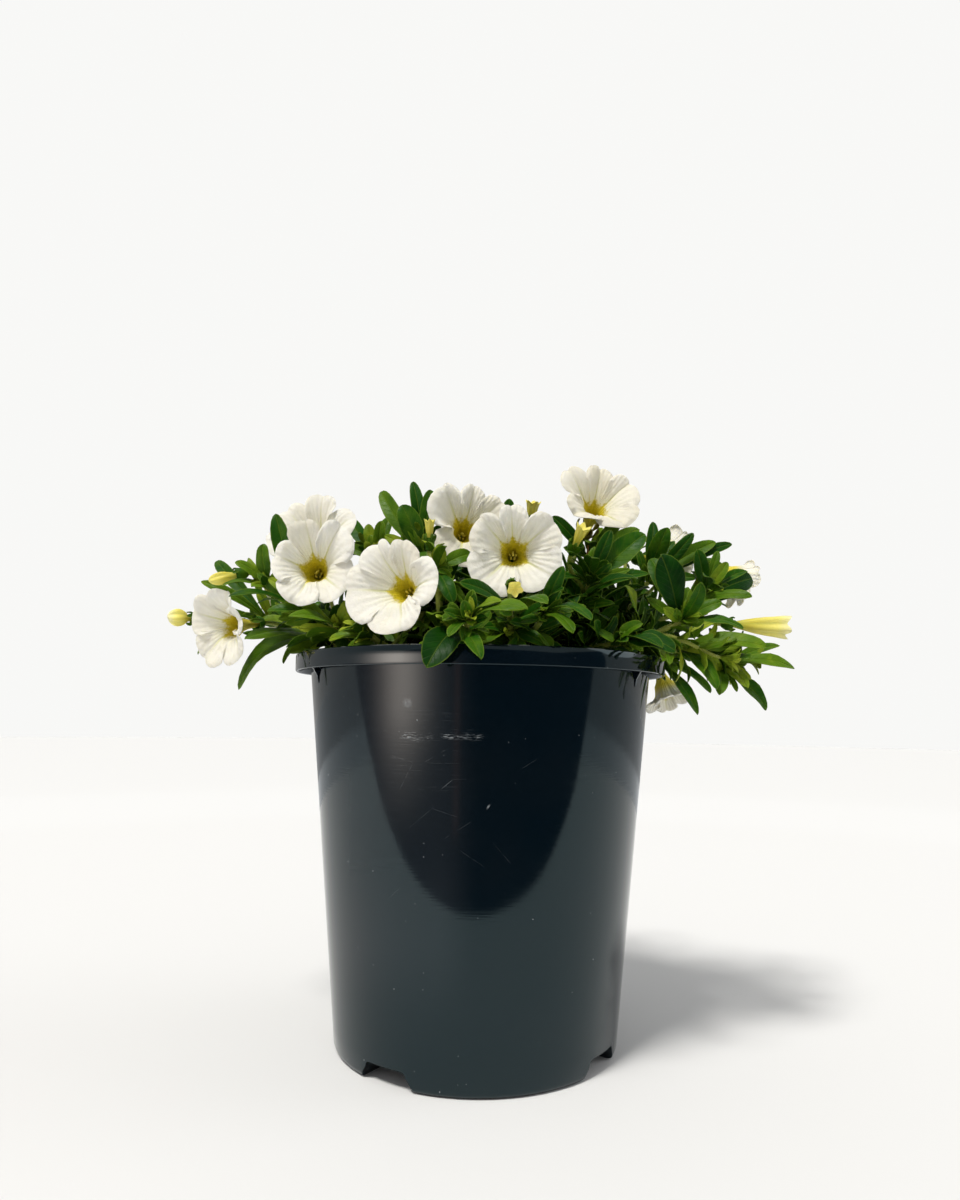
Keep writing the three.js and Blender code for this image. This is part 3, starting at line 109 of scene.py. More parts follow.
# A bloom: the middle of its rim, the bearing and slope it faces, its petals as (angle, reach, lean) and the
# shoot it grows on, as (branch, shoot, where on it).
Bloom = namedtuple("Bloom", "rim faces petals on")
BLOOMS = {
    "left": Bloom((-115, -16, 184), (-34, -10),
                  ((10, 17, 1), (67, 17, 0), (154, 19.5, 0), (226, 19.5, 0), (315, 19, 1)), ("left", 1, 0.7)),
    "left_front": Bloom((-68, -50, 206), (-2, 8),
                        ((53, 20, 2), (97, 17.5, 2), (166, 16, 0), (249, 17.5, 0), (320, 18.5, 0)),
                        ("left_front", 0, 0.7)),
    "left_top": Bloom((-75, -20, 226), (-16, 30),
                      ((26, 21, -2), (84, 20, 1), (138, 21, 0), (196, 20.5, 0), (300, 17, 0)),
                      ("centre_left", 1, 0.5)),
    "front_left": Bloom((-34, -66, 196), (-26, 8),
                        ((4, 20, 0), (79, 17.5, 0), (119, 20, 0), (183, 22, 0), (288, 20, 0)),
                        ("left_front", 1, 0.6)),
    "centre": Bloom((-6, -36, 226), (12, 10),
                    ((37, 18.5, 0), (79, 18, 0), (123, 19.5, 1), (257, 19, 0), (326, 16, 0)),
                    ("top", 0, 0.5)),
    "front": Bloom((12.5, -64, 210), (1, 0),
                   ((37, 19, 0), (96, 17.5, 0), (139, 18.5, 0), (226, 20, 0), (326, 19, 0)),
                   ("front_right", 0, 0.5)),
    "right_top": Bloom((50, -26, 240.5), (12, 30),
                       ((33, 19, 0), (80, 18.5, 0), (128, 20, 0), (217, 16.5, 0), (302, 18.5, 0)),
                       ("top", 1, 0.6)),
    "right_back": Bloom((97, 32, 228), (108, 8),
                        ((20, 15, 0), (90, 15, 0), (160, 15, 0), (235, 15, 0), (305, 15, 0)),
                        ("right_back", 0, 0.72)),
    "right": Bloom((127, 26, 213), (106, -22),
                   ((15, 13, 1), (85, 13, 1), (160, 13, 1), (230, 13, 1), (300, 13, 1)),
                   ("right_back", 0, 0.7)),
    "right_low": Bloom((95, 34, 155), (40, -66),
                       ((20, 12, 1), (95, 12, 0), (165, 12, 1), (240, 13, 0), (310, 12, 1)),
                       ("right", 1, 0.8)),
    "back": Bloom((-4, 104, 214), (182, 22),
                  ((22, 18, 0), (88, 18, 1), (160, 18, 0), (232, 19, 0), (305, 18, 0)), ("back", 2, 0.75)),
    "back_right": Bloom((56, 86, 206), (150, 15),
                        ((10, 18, 0), (85, 18, 0), (155, 19, 1), (225, 18, 0), (300, 18, 0)),
                        ("right_back", 1, 0.75)),
    "back_left": Bloom((-50, 82, 216), (212, 25),
                       ((15, 18, 0), (90, 19, 0), (165, 18, 0), (235, 18, 0), (308, 18, 1)),
                       ("back_left", 1, 0.7)),
    "left_back": Bloom((-104, 58, 206), (248, 12),
                       ((25, 18, 1), (95, 18, 0), (165, 18, 0), (240, 18, 0), (310, 18, 0)),
                       ("back_left", 2, 0.75)),
}

# How far in the notch between a petal and the next one reaches, as a share of the petals. These five blooms
# face the front, and leaves are bent clear of them.
NOTCHES = {
    "front": (0.5, 0.5, 0.72, 0.56, 0.84),
    "left_front": (0.5, 0.66, 0.8, 0.7, 0.76),
    "front_left": (0.58, 0.58, 0.76, 0.76, 0.7),
    "centre": (0.64, 0.52, 0.4, 0.6, 0.7),
    "right_top": (0.7, 0.64, 0.5, 0.7, 0.76),
}
OTHER_NOTCHES = (0.62, 0.58, 0.66, 0.62, 0.56)

# A bud: its tip, the bearing and slope it points, its length and thickness, its form and its shoot.
Bud = namedtuple("Bud", "tip faces length across form on")
BUDS = {
    "left_end": Bud((-142, -4, 190), (-66, 4), 13, 8, "closed", ("left", 1, 0.92)),
    "left": Bud((-117, -24, 203), (-78, -14), 15, 5.5, "closed", ("left", 0, 0.9)),
    "right_end": Bud((141, -4, 189), (86, -2), 30, 10, "parting", ("right", 0, 0.8)),
    "top": Bud((23, -4, 245), (20, 72), 11, 7, "parting", ("top", 0, 0.82)),
    "right_front": Bud((40, -56, 222), (30, 50), 12, 6, "parting", ("right_front", 0, 0.8)),
    "front": Bud((12, -88, 191), (8, -20), 11, 5.6, "parting", ("front_right", 0, 0.85)),
    "centre": Bud((-21, -50, 225), (0, 82), 11, 4.5, "parting", ("front", 0, 0.88)),
    "back": Bud((34, 62, 226), (160, 50), 12, 5.5, "closed", ("back", 0, 0.7)),
}

# ---------------------------------------------------------------- lines and frames


def vec(*p):
    return np.array(p, float)


def unit(v):
    return v / np.maximum(np.linalg.norm(v, axis=-1, keepdims=True), 1e-9)


def square_to(v, along):
    """What is left of v at right angles to a unit direction, one long."""
    return unit(v - np.dot(v, along) * along)


def heading(bearing, slope):
    """The direction with a bearing from the front (-Y) towards +X and a slope above the ground."""
    b, e = math.radians(bearing), math.radians(slope)
    return vec(math.sin(b) * math.cos(e), -math.cos(b) * math.cos(e), math.sin(e))


def smooth(x, low, high):
    """0 below low, 1 above high, and a smooth slope between."""
    t = np.clip((x - low) / (high - low), 0, 1)
    return t * t * (3 - 2 * t)


def bell(x, middle, width):
    """1 at the middle, falling off on both sides within about twice the width."""
    return np.exp(-(((x - middle) / width) ** 2))


def on_curve(ends, t):
    """Points on a cubic Bezier curve."""
    a, b, c, d = ends
    t = np.asarray(t, float)[..., None]
    return a * (1 - t) ** 3 + 3 * b * t * (1 - t) ** 2 + 3 * c * t * t * (1 - t) + d * t**3


def shoot_line(root, tip, climb, slope):
    """The curve of a shoot: up out of the mix, then over to its tip."""
    tip = vec(*tip)
    start = vec(*root, MIX["top"] + STEM["fork"])
    bearing = math.degrees(math.atan2(tip[0] - start[0], start[1] - tip[1]))
    pull = 0.36 * np.linalg.norm(tip - start)
    return start, start + heading(bearing, 62) * climb, tip - heading(bearing, slope) * pull, tip


LINES = {name: [shoot_line(root, *shoot) for shoot in shoots] for name, (root, shoots) in BRANCHES.items()}


def stalk_line(flower):
    """The curve of a flower's stalk, from its shoot to the foot of its calyx."""
    branch, shoot, share = flower.on
    line = LINES[branch][shoot]
    start = on_curve(line, share)
    along = unit(on_curve(line, share + 0.01) - on_curve(line, share - 0.01))
    foot = flower.base - flower.facing * STALK["foot"]
    reach = 0.45 * np.linalg.norm(foot - start)
    leave = unit((square_to(flower.facing, along) + along) / 2)
    return start, start + leave * reach, foot - flower.facing * reach, foot


def flower_axes(facing):
    """The two directions across a flower: to the right as one looks into it, and up."""
    across = unit(np.cross(square_to(vec(0, 0, 1), facing), facing))
    return across, np.cross(facing, across)


def bloom_place(name):
    """The base of a bloom's tube and its three directions: across, up and the way it faces."""
    facing = heading(*BLOOMS[name].faces)
    return vec(*BLOOMS[name].rim) - facing * BLOOM_DEPTH, *flower_axes(facing), facing


# Each flower: the base of its tube, the way it faces, the bore and the length of its calyx, and its shoot.
Flower = namedtuple("Flower", "name base facing bore calyx on")
FLOWERS = []
for name, bloom in BLOOMS.items():
    base, *_, facing = bloom_place(name)
    FLOWERS.append(Flower(name, base, facing, 2.75, 6, bloom.on))
for name, bud in BUDS.items():
    facing = heading(*bud.faces)
    bore = 1.4 if bud.length < 12 else 2.2
    FLOWERS.append(Flower(name, vec(*bud.tip) - facing * bud.length, facing, bore, 4, bud.on))


# ---------------------------------------------------------------- meshes


def set_marks(mesh, **marks):
    """Puts numbers or directions on the points of a mesh."""
    for key, values in marks.items():
        values = np.asarray(values, np.float32)
        kind, field = ("FLOAT_VECTOR", "vector") if values.ndim == 2 else ("FLOAT", "value")
        mesh.attributes.new(key, kind, "POINT").data.foreach_set(field, values.reshape(-1))


def shown(name, mesh):
    thing = bpy.data.objects.new(name, mesh)
    bpy.context.scene.collection.objects.link(thing)
    return thing


def smoothed(mesh, crease):
    """Smooth shading with sharp edges where faces meet at more than crease degrees."""
    mesh.polygons.foreach_set("use_smooth", [True] * len(mesh.polygons))
    mesh.update()
    mesh.set_sharp_from_angle(angle=math.radians(crease))


def baked(thing):
    """Turns what a piece's modifiers make into its own plain mesh."""
    made = bpy.data.meshes.new_from_object(thing.evaluated_get(bpy.context.evaluated_depsgraph_get()))
    thing.modifiers.clear()
    thing.data = made
    made.name = thing.name
    return thing


def line_mesh(name, points, edges, **marks):
    """A mesh of points, given in millimetres, and edges, with numbers or directions on its points."""
    mesh = bpy.data.meshes.new(name)
    mesh.from_pydata((np.array(points) / 1000).tolist(), edges, [])
    set_marks(mesh, **marks)
    return mesh


class Form:
    """Gathers points in millimetres, faces and numbers on the points, and makes one mesh of them."""

    def __init__(self):
        self.points, self.faces, self.marks, self.count = [], [], [], 0

    def add(self, points, faces, **marks):
        points = np.asarray(points, float).reshape(-1, 3)
        self.points.append(points)
        faces = faces.tolist() if isinstance(faces, np.ndarray) else faces
        self.faces += [[k + self.count for k in face] for face in faces]
        self.marks.append({k: np.broadcast_to(v, len(points)).astype(float) for k, v in marks.items()})
        self.count += len(points)

    def mesh(self, name, material, crease=50):
        mesh = bpy.data.meshes.new(name)
        points = np.clip(np.concatenate(self.points), low_mm, high_mm)
        mesh.from_pydata((points / 1000).tolist(), [], self.faces)
        for key in sorted({k for marks in self.marks for k in marks}):
            values = [m.get(key, np.zeros(len(p))) for m, p in zip(self.marks, self.points)]
            set_marks(mesh, **{key: np.concatenate(values)})
        smoothed(mesh, crease)
        mesh.materials.append(material)
        return mesh

    def piece(self, name, material, crease=50):
        return shown(name, self.mesh(name, material, crease))


def belt(n):
    """The faces between a loop of n points and the next n points."""
    return [[i, (i + 1) % n, n + (i + 1) % n, n + i] for i in range(n)]


def shell_faces(rows, columns):
    """The faces of a thin closed shell: a front grid, a back grid and the wall round them."""
    n = rows * columns
    grid = np.arange(n).reshape(rows, columns)
    front = np.stack([grid[:-1, :-1], grid[:-1, 1:], grid[1:, 1:], grid[1:, :-1]], -1).reshape(-1, 4)
    edge = np.concatenate([grid[0], grid[1:, -1], grid[-1, -2::-1], grid[-2:0:-1, 0]])
    after = np.roll(edge, -1)
    wall = np.stack([after, edge, edge + n, after + n], -1)
    return np.concatenate([front, front[:, ::-1] + n, wall])


def add_shell(form, points, thickness, **marks):
    """Adds a sheet given by a grid of points on its middle, as a closed shell. under is 1 on its back."""
    rows, columns = points.shape[:2]
    normal = unit(np.cross(np.gradient(points, axis=1), np.gradient(points, axis=0)))
    half = normal * (np.broadcast_to(thickness, (rows, columns))[..., None] / 2)
    marks = {k: np.tile(np.broadcast_to(v, (rows, columns)).reshape(-1), 2) for k, v in marks.items()}
    under = np.repeat([0.0, 1.0], rows * columns)
    both = np.concatenate([(points + half).reshape(-1, 3), (points - half).reshape(-1, 3)])
    form.add(both, shell_faces(rows, columns), under=under, **marks)


def add_turned(form, profile, columns, at=None, wave=None, **marks):
    """Adds a closed body of revolution. profile runs from the bottom of its axis up its outside to the top.
    wave bends its rings, and at is its place: a base and three directions."""
    profile = np.asarray(profile, float)
    body = profile[1:-1]
    turn = np.arange(columns) * 2 * math.pi / columns
    radius = np.repeat(body[:, 0][:, None], columns, 1)
    height = np.repeat(body[:, 1][:, None], columns, 1)
    if wave:
        radius, height = wave(radius, height, turn[None, :])
    ring = np.stack([radius * np.cos(turn), radius * np.sin(turn), height], -1).reshape(-1, 3)
    points = np.concatenate([ring, [[0, 0, profile[0, 1]], [0, 0, profile[-1, 1]]]])
    n = len(body) * columns
    j = np.arange(columns)
    k = np.roll(j, -1)
    faces = []
    for low in range(0, n - columns, columns):
        faces += np.stack([low + j, low + k, low + columns + k, low + columns + j], -1).tolist()
    faces += np.stack([k, j, np.full(columns, n)], -1).tolist()
    faces += np.stack([n - columns + j, n - columns + k, np.full(columns, n + 1)], -1).tolist()
    tall = np.concatenate([height.reshape(-1), profile[[0, -1], 1]])
    if at:
        base, across, up, facing = at
        points = base + points[:, :1] * across + points[:, 1:2] * up + points[:, 2:] * facing
    form.add(points, faces, tall=tall, **marks)


# ---------------------------------------------------------------- geometry trees


def new_tree(name, **inputs):
    """An empty geometry tree with named inputs, and its input and output nodes."""
    tree = bpy.data.node_groups.new(name, "GeometryNodeTree")
    tree.interface.new_socket("Geometry", in_out="INPUT", socket_type="NodeSocketGeometry")
    for key, value in inputs.items():
        kind = {float: "Float", int: "Int", type(None): "Material"}[type(value)]
        socket = tree.interface.new_socket(key, in_out="INPUT", socket_type="NodeSocket" + kind)
        if value is not None:
            socket.default_value = value
    tree.interface.new_socket("Geometry", in_out="OUTPUT", socket_type="NodeSocketGeometry")
    return tree, tree.nodes.new("NodeGroupInput"), tree.nodes.new("NodeGroupOutput")


def put(tree, kind, settings=None, **inputs):
    """Adds a node. An input is a socket or a value, named with _ for a space, or _0, _1 by its place."""
    node = tree.nodes.new(kind)
    for key, value in (settings or {}).items():
        setattr(node, key, value)
    for key, value in inputs.items():
        socket = node.inputs[int(key[1:])] if key[0] == "_" else node.inputs[key.replace("_", " ")]
        if isinstance(value, bpy.types.NodeSocket):
            tree.links.new(value, socket)
        else:
            socket.default_value = value
    return node


def finish_tree(tree, given, out, geometry):
    real = put(tree, "GeometryNodeRealizeInstances", Geometry=geometry)
    dressed = put(tree, "GeometryNodeSetMaterial", Geometry=real.outputs[0], Material=given.outputs["Finish"])
    tree.links.new(dressed.outputs[0], out.inputs[0])
    return tree


def grown(name, base, tree, **inputs):
    """A plain mesh piece that a geometry tree makes from a base mesh."""
    thing = shown(name, base)
    modifier = thing.modifiers.new("grow", "NODES")
    modifier.node_group = tree
    for item in tree.interface.items_tree:
        if item.in_out == "INPUT" and item.name in inputs:
            modifier[item.identifier] = inputs[item.name]
    return baked(thing)


def bar_tree():
    """Round bars along the edges of the base mesh. Its points carry their radius."""
    tree, given, out = new_tree("round bars", Sides=9, Finish=None)
    curve = put(tree, "GeometryNodeMeshToCurve", Mesh=given.outputs[0])
    radius = put(tree, "GeometryNodeInputNamedAttribute", {"data_type": "FLOAT"}, Name="thick")
    ring = put(tree, "GeometryNodeCurvePrimitiveCircle", Resolution=given.outputs["Sides"], Radius=1.0)
    bars = put(tree, "GeometryNodeCurveToMesh", Curve=curve.outputs[0], Profile_Curve=ring.outputs[0],
               Scale=radius.outputs[0], Fill_Caps=True)
    smooth_bars = put(tree, "GeometryNodeSetShadeSmooth", Geometry=bars.outputs[0])
    return finish_tree(tree, given, out, smooth_bars.outputs[0])


def scatter_tree(grain):
    """Grains or hairs strewn over the base mesh, standing off its faces, each a random size."""
    tree, given, out = new_tree("strewn " + grain, Density=1000.0, Least=0.0005, Most=0.001, Seed=1,
                                Finish=None)
    density, least, most, seed = (given.outputs[key] for key in ("Density", "Least", "Most", "Seed"))

    def vary(low, high):
        return put(tree, "FunctionNodeRandomValue", {"data_type": "FLOAT_VECTOR"}, _0=low, _1=high,
                   Seed=seed).outputs[0]

    strewn = put(tree, "GeometryNodeDistributePointsOnFaces", Mesh=given.outputs[0], Density=density,
                 Seed=seed)
    size = put(tree, "FunctionNodeRandomValue", {"data_type": "FLOAT"}, _2=least, _3=most,
               Seed=seed).outputs[1]
    turned_by = put(tree, "FunctionNodeRotateRotation", {"rotation_space": "LOCAL"},
                    Rotation=strewn.outputs["Rotation"], _1=vary((-0.5, -0.5, -3.1), (0.5, 0.5, 3.1)))
    if grain == "hair":
        shape = put(tree, "GeometryNodeMeshCone", {"fill_type": "TRIANGLE_FAN"}, Vertices=3, Radius_Top=0.0,
                    Radius_Bottom=0.045, Depth=1.0)
        scale = size
    else:
        shape = put(tree, "GeometryNodeMeshIcoSphere", Radius=0.5, Subdivisions=1)
        squash = vary((0.6, 0.6, 0.4), (1.3, 1.2, 1.0))
        scale = put(tree, "ShaderNodeVectorMath", {"operation": "SCALE"}, _0=squash, Scale=size).outputs[0]
    placed = put(tree, "GeometryNodeInstanceOnPoints", Points=strewn.outputs[0], Instance=shape.outputs[0],
                 Rotation=turned_by.outputs[0], Scale=scale)
    return finish_tree(tree, given, out, placed.outputs[0])


def anther_tree():
    """A stretched knob on each point of the base mesh, along the way the point carries."""
    tree, given, out = new_tree("anthers", Size=0.0012, Finish=None)
    points = put(tree, "GeometryNodeMeshToPoints", Mesh=given.outputs[0])
    way = put(tree, "GeometryNodeInputNamedAttribute", {"data_type": "FLOAT_VECTOR"}, Name="way")
    turned_to = put(tree, "FunctionNodeAlignRotationToVector", {"axis": "Z"}, Vector=way.outputs[0])
    knob = put(tree, "GeometryNodeMeshUVSphere", Segments=8, Rings=6, Radius=0.5)
    shaped = put(tree, "GeometryNodeTransform", Geometry=knob.outputs[0], Scale=(0.7, 1.0, 1.3))
    placed = put(tree, "GeometryNodeInstanceOnPoints", Points=points.outputs[0], Instance=shaped.outputs[0],
                 Rotation=turned_to.outputs[0], Scale=given.outputs["Size"])
    smooth_knobs = put(tree, "GeometryNodeSetShadeSmooth", Geometry=placed.outputs[0])
    return finish_tree(tree, given, out, smooth_knobs.outputs[0])


# ---------------------------------------------------------------- finishes


class Finish:
    """A node material. Sizes of patterns are in millimetres."""

    def __init__(self, name, **shader):
        self.material = bpy.data.materials.new(name)
        self.material.use_nodes = True
        self.tree = self.material.node_tree
        self.tree.nodes.clear()
        self.shader = put(self.tree, "ShaderNodeBsdfPrincipled", **shader)
        put(self.tree, "ShaderNodeOutputMaterial", Surface=self.shader.outputs[0])
        self.place = put(self.tree, "ShaderNodeTexCoord").outputs["Object"]

    def mark(self, name):
        return put(self.tree, "ShaderNodeAttribute", {"attribute_name": name}).outputs["Fac"]

    def calc(self, operation, *values):
        """Takes values together one after another, or works on a single one."""
        result = values[0]
        for value in values[1:] or (0.0,):
            node = put(self.tree, "ShaderNodeMath", {"operation": operation}, _0=result, _1=value)
            result = node.outputs[0]
        return result

    def times(self, *values):
        return self.calc("MULTIPLY", *values)

    def plus(self, *values):
        return self.calc("ADD", *values)

    def minus(self, a, b):
        return self.calc("SUBTRACT", a, b)

    def most(self, *values):
        return self.calc("MAXIMUM", *values)

    def step(self, value, low, high, first=0.0, last=1.0):
        """first below low, last above high, and a smooth slope between."""
        return put(self.tree, "ShaderNodeMapRange", {"interpolation_type": "SMOOTHSTEP"}, Value=value,
                   From_Min=low, From_Max=high, To_Min=first, To_Max=last).outputs[0]

    def noise(self, size, detail=2.0, stretch=(1, 1, 1), shift=0.0):
        moved = put(self.tree, "ShaderNodeMapping", Vector=self.place, Location=(shift,) * 3, Scale=stretch)
        return put(self.tree, "ShaderNodeTexNoise", Vector=moved.outputs[0], Scale=1000 / size,
                   Detail=detail).outputs[0]

    def toned(self, size):
        """The tone that a piece's points carry, mottled by a noise."""
        return self.plus(self.mark("tone"), self.times(self.minus(self.noise(size, 3), 0.5), 0.5))

    def spots(self, size, radius, share):
        """Small round spots, one in some of the cells of a random pattern."""
        cell = put(self.tree, "ShaderNodeTexVoronoi", Vector=self.place, Scale=1000 / size)
        draw = put(self.tree, "ShaderNodeSeparateColor", Color=cell.outputs["Color"]).outputs[0]
        spot = self.step(cell.outputs["Distance"], radius * 0.6, radius, 1, 0)
        return self.times(spot, self.step(draw, share, share + 0.01, 1, 0))

    def mix(self, share, a, b):
        """a where share is 0 and b where it is 1, each of them a socket or a colour."""
        a, b = (c if isinstance(c, bpy.types.NodeSocket) else (*c, 1) for c in (a, b))
        return put(self.tree, "ShaderNodeMix", {"data_type": "RGBA"}, _0=share, _6=a, _7=b).outputs[2]

    def ramp(self, value, *stops):
        node = put(self.tree, "ShaderNodeValToRGB", Fac=value)
        points = node.color_ramp.elements
        for place, colour in stops[2:]:
            points.new(place)
        for point, (place, colour) in zip(points, sorted(stops)):
            point.position, point.color = place, (*colour, 1)
        return node.outputs[0]

    def wear(self, **sockets):
        for key, value in sockets.items():
            self.tree.links.new(value, self.shader.inputs[key.replace("_", " ")])

    def relief(self, height, depth, strength=1.0):
        """Raises the surface by up to depth millimetres."""
        bump = put(self.tree, "ShaderNodeBump", Strength=strength, Distance=depth / 1000, Height=height)
        self.wear(Normal=bump.outputs[0])


def mottled(name, size, detail, stops, grain=None, **shader):
    """A plain finish whose colour changes with a noise. grain is a relief's own size, detail and depth."""
    skin = Finish(name, **shader)
    skin.wear(Base_Color=skin.ramp(skin.noise(size, detail), *stops))
    if grain:
        skin.relief(skin.noise(grain[0], grain[1]), grain[2])
    return skin.material


# Marks of use on the front of the pot, in millimetres. A patch is given by its range in x, its range in z and
# how softly it ends, a scratch by its two ends as (x, z, x, z).
SCUFF = ((-30, -18, 137.4, 139.6, 1.3), (-14, 1, 138.0, 139.6, 1.1))
BRUSHED = (-38, 0, 116, 158, 9)
BLOT = (-28.2, -25.8, 149.8, 152.2, 1.1)
FLECK = (2.7, 111.4, 4.0, 113.4)
DEEP_SCRATCH = (-13.5, 119.5, -10, 122.5)
FINE_SCRATCHES = (
    (-33, 131, -20, 127.5), (-22, 128, -12, 134), (-30, 118, -24, 130), (-18, 112, -8, 109),
    (14, 126, 22, 131), (-6, 96, 3, 90), (-34, 76, -27, 83), (-26, 104, -17, 112), (-12, 101, -3, 107),
    (6, 99, 12, 92),
)


def pot_plastic():
    """Near-black moulded plastic: satin, scratched along its sides, with a scuff, dust and small flecks."""
    # Specular_Tint turns every reflection on the pot teal: a painted tint of the reflected surroundings.
    skin = Finish("moulded black plastic", Roughness=0.2, IOR=1.5, Specular_Tint=(0.64, 0.92, 1.0, 1.0))
    x, y, z = put(skin.tree, "ShaderNodeSeparateXYZ", Vector=skin.place).outputs
    front = skin.step(y, 0.0, 0.01, 1, 0)
    broken = skin.step(skin.noise(3.5, 3, shift=7.7), 0.38, 0.6)
    rubbed = skin.noise(1.6, 3, (0.12, 0.12, 3))
    cloud = skin.noise(30, 3)

    def between(value, low, high, soft):
        """1 between two places in millimetres, with soft ends."""
        up = skin.step(value, (low - soft) / 1000, (low + soft) / 1000)
        return skin.times(up, skin.step(value, (high - soft) / 1000, (high + soft) / 1000, 1, 0))

    def patch(x_low, x_high, z_low, z_high, soft):
        return skin.times(between(x, x_low, x_high, soft), between(z, z_low, z_high, soft), front)

    def scratch(x0, z0, x1, z1, width):
        """A fine straight scratch on the front, broken along its length."""
        length = math.hypot(x1 - x0, z1 - z0)
        cx, cz = (x1 - x0) / length, (z1 - z0) / length
        dx, dz = skin.minus(x, x0 / 1000), skin.minus(z, z0 / 1000)
        along = skin.plus(skin.times(dx, cx), skin.times(dz, cz))
        off = skin.calc("ABSOLUTE", skin.minus(skin.times(dx, cz), skin.times(dz, cx)))
        line = skin.step(off, width * 0.4 / 1000, width / 1000, 1, 0)
        return skin.times(line, between(along, 0, length, 1), front, broken)

    streaks = skin.step(skin.noise(0.7, 4, (0.3, 0.3, 1.9), 3.1), 0.48, 0.66)
    smear = skin.times(streaks, skin.step(skin.noise(5, 3, shift=2.2), 0.34, 0.6))
    scuff = skin.times(skin.most(*(patch(*place) for place in SCUFF)), smear)
    bristles = skin.step(skin.noise(1.1, 3, (0.05, 0.05, 2.4), 5.3), 0.56, 0.7)
    brushed = skin.times(bristles, patch(*BRUSHED), broken)
    fine = (skin.times(scratch(*ends, 0.1), 0.45) for ends in FINE_SCRATCHES)
    scratches = skin.most(scratch(*DEEP_SCRATCH, 0.16), *fine)
    dust = skin.most(skin.spots(9, 0.036, 0.6), skin.times(skin.spots(3.4, 0.06, 0.2), 0.7))
    blot = skin.times(patch(*BLOT), skin.step(skin.noise(1.2, 3), 0.3, 0.6, 0.5, 1))
    flecks = skin.most(scratch(*FLECK, 0.4), skin.times(blot, 0.6))
    pale = skin.most(scuff, dust, flecks, skin.times(scratches, 0.3), skin.times(brushed, 0.06))

    black = skin.ramp(cloud, (0.3, (0.0010, 0.0028, 0.0048)), (0.7, (0.0026, 0.0040, 0.0056)))
    skin.wear(Base_Color=skin.mix(skin.times(pale, 0.6), black, (0.42, 0.45, 0.47)))
    rough = skin.plus(skin.step(rubbed, 0.35, 0.75, 0.055, 0.10), skin.step(cloud, 0.3, 0.8, 0.0, 0.04))
    skin.wear(Roughness=skin.most(rough, skin.times(pale, 0.7)))
    wavy = skin.plus(skin.times(rubbed, 0.25), skin.noise(14, 2, (1, 1, 0.4)))
    skin.relief(skin.plus(wavy, skin.times(pale, 0.5)), 0.05, 0.5)
    return skin.material


def leaf_skin():
    """Green leaf: darker or yellower by its tone, with a light rib, a pale rim that is partly painted sheen
    of fine margin hairs, and faint side veins.
    """
    skin = Finish("leaf skin", IOR=1.45, Specular_IOR_Level=0.11)
    rib, edge, run, under = (skin.mark(key) for key in ("rib", "edge", "run", "under"))
    away = skin.calc("ABSOLUTE", rib)
    green = skin.ramp(skin.toned(6), (0.0, (0.002, 0.028, 0.001)), (0.4, (0.014, 0.074, 0.002)),
                      (0.75, (0.092, 0.182, 0.005)), (1.0, (0.28, 0.35, 0.02)))
    light = skin.mix(0.38, green, (0.24, 0.33, 0.03))
    line = skin.step(away, 0.12, 0.42, 1, 0)
    # The pale rim along the margin is partly paler leaf colour and partly painted sheen of fine hairs there.
    rim = skin.step(edge, 0.1, 0.5, 1, 0)
    slant = skin.times(skin.minus(run, skin.times(away, 1.1)), 2.1)
    side = skin.step(skin.calc("SINE", slant), 0.8, 1.0)
    lines = skin.most(skin.times(line, 0.36), skin.times(rim, 0.75), skin.times(side, 0.03))
    backed = skin.mix(skin.times(under, 0.5), skin.mix(lines, green, light), (0.035, 0.105, 0.005))
    skin.wear(Base_Color=skin.mix(skin.mark("dry"), backed, (0.30, 0.16, 0.045)))
    rough = skin.step(skin.noise(2.4, 3), 0.3, 0.75, 0.36, 0.52)
    skin.wear(Roughness=skin.plus(rough, skin.times(under, 0.12)))
    sunk = skin.plus(skin.times(line, 0.7), skin.times(side, 0.35))
    skin.relief(skin.minus(skin.times(skin.noise(0.8, 2), 0.35), sunk), 0.22)
    return skin.material


def stem_skin():
    """Stems: green to pale green by their tone, with a fine grain along them."""
    skin = Finish("stem skin", Roughness=0.55, Specular_IOR_Level=0.25)
    skin.wear(Base_Color=skin.ramp(skin.toned(4), (0.0, (0.04, 0.08, 0.008)), (0.5, (0.15, 0.205, 0.018)),
                                   (1.0, (0.34, 0.38, 0.07))))
    skin.relief(skin.noise(0.7, 3, (1, 1, 0.25)), 0.15)
    return skin.material


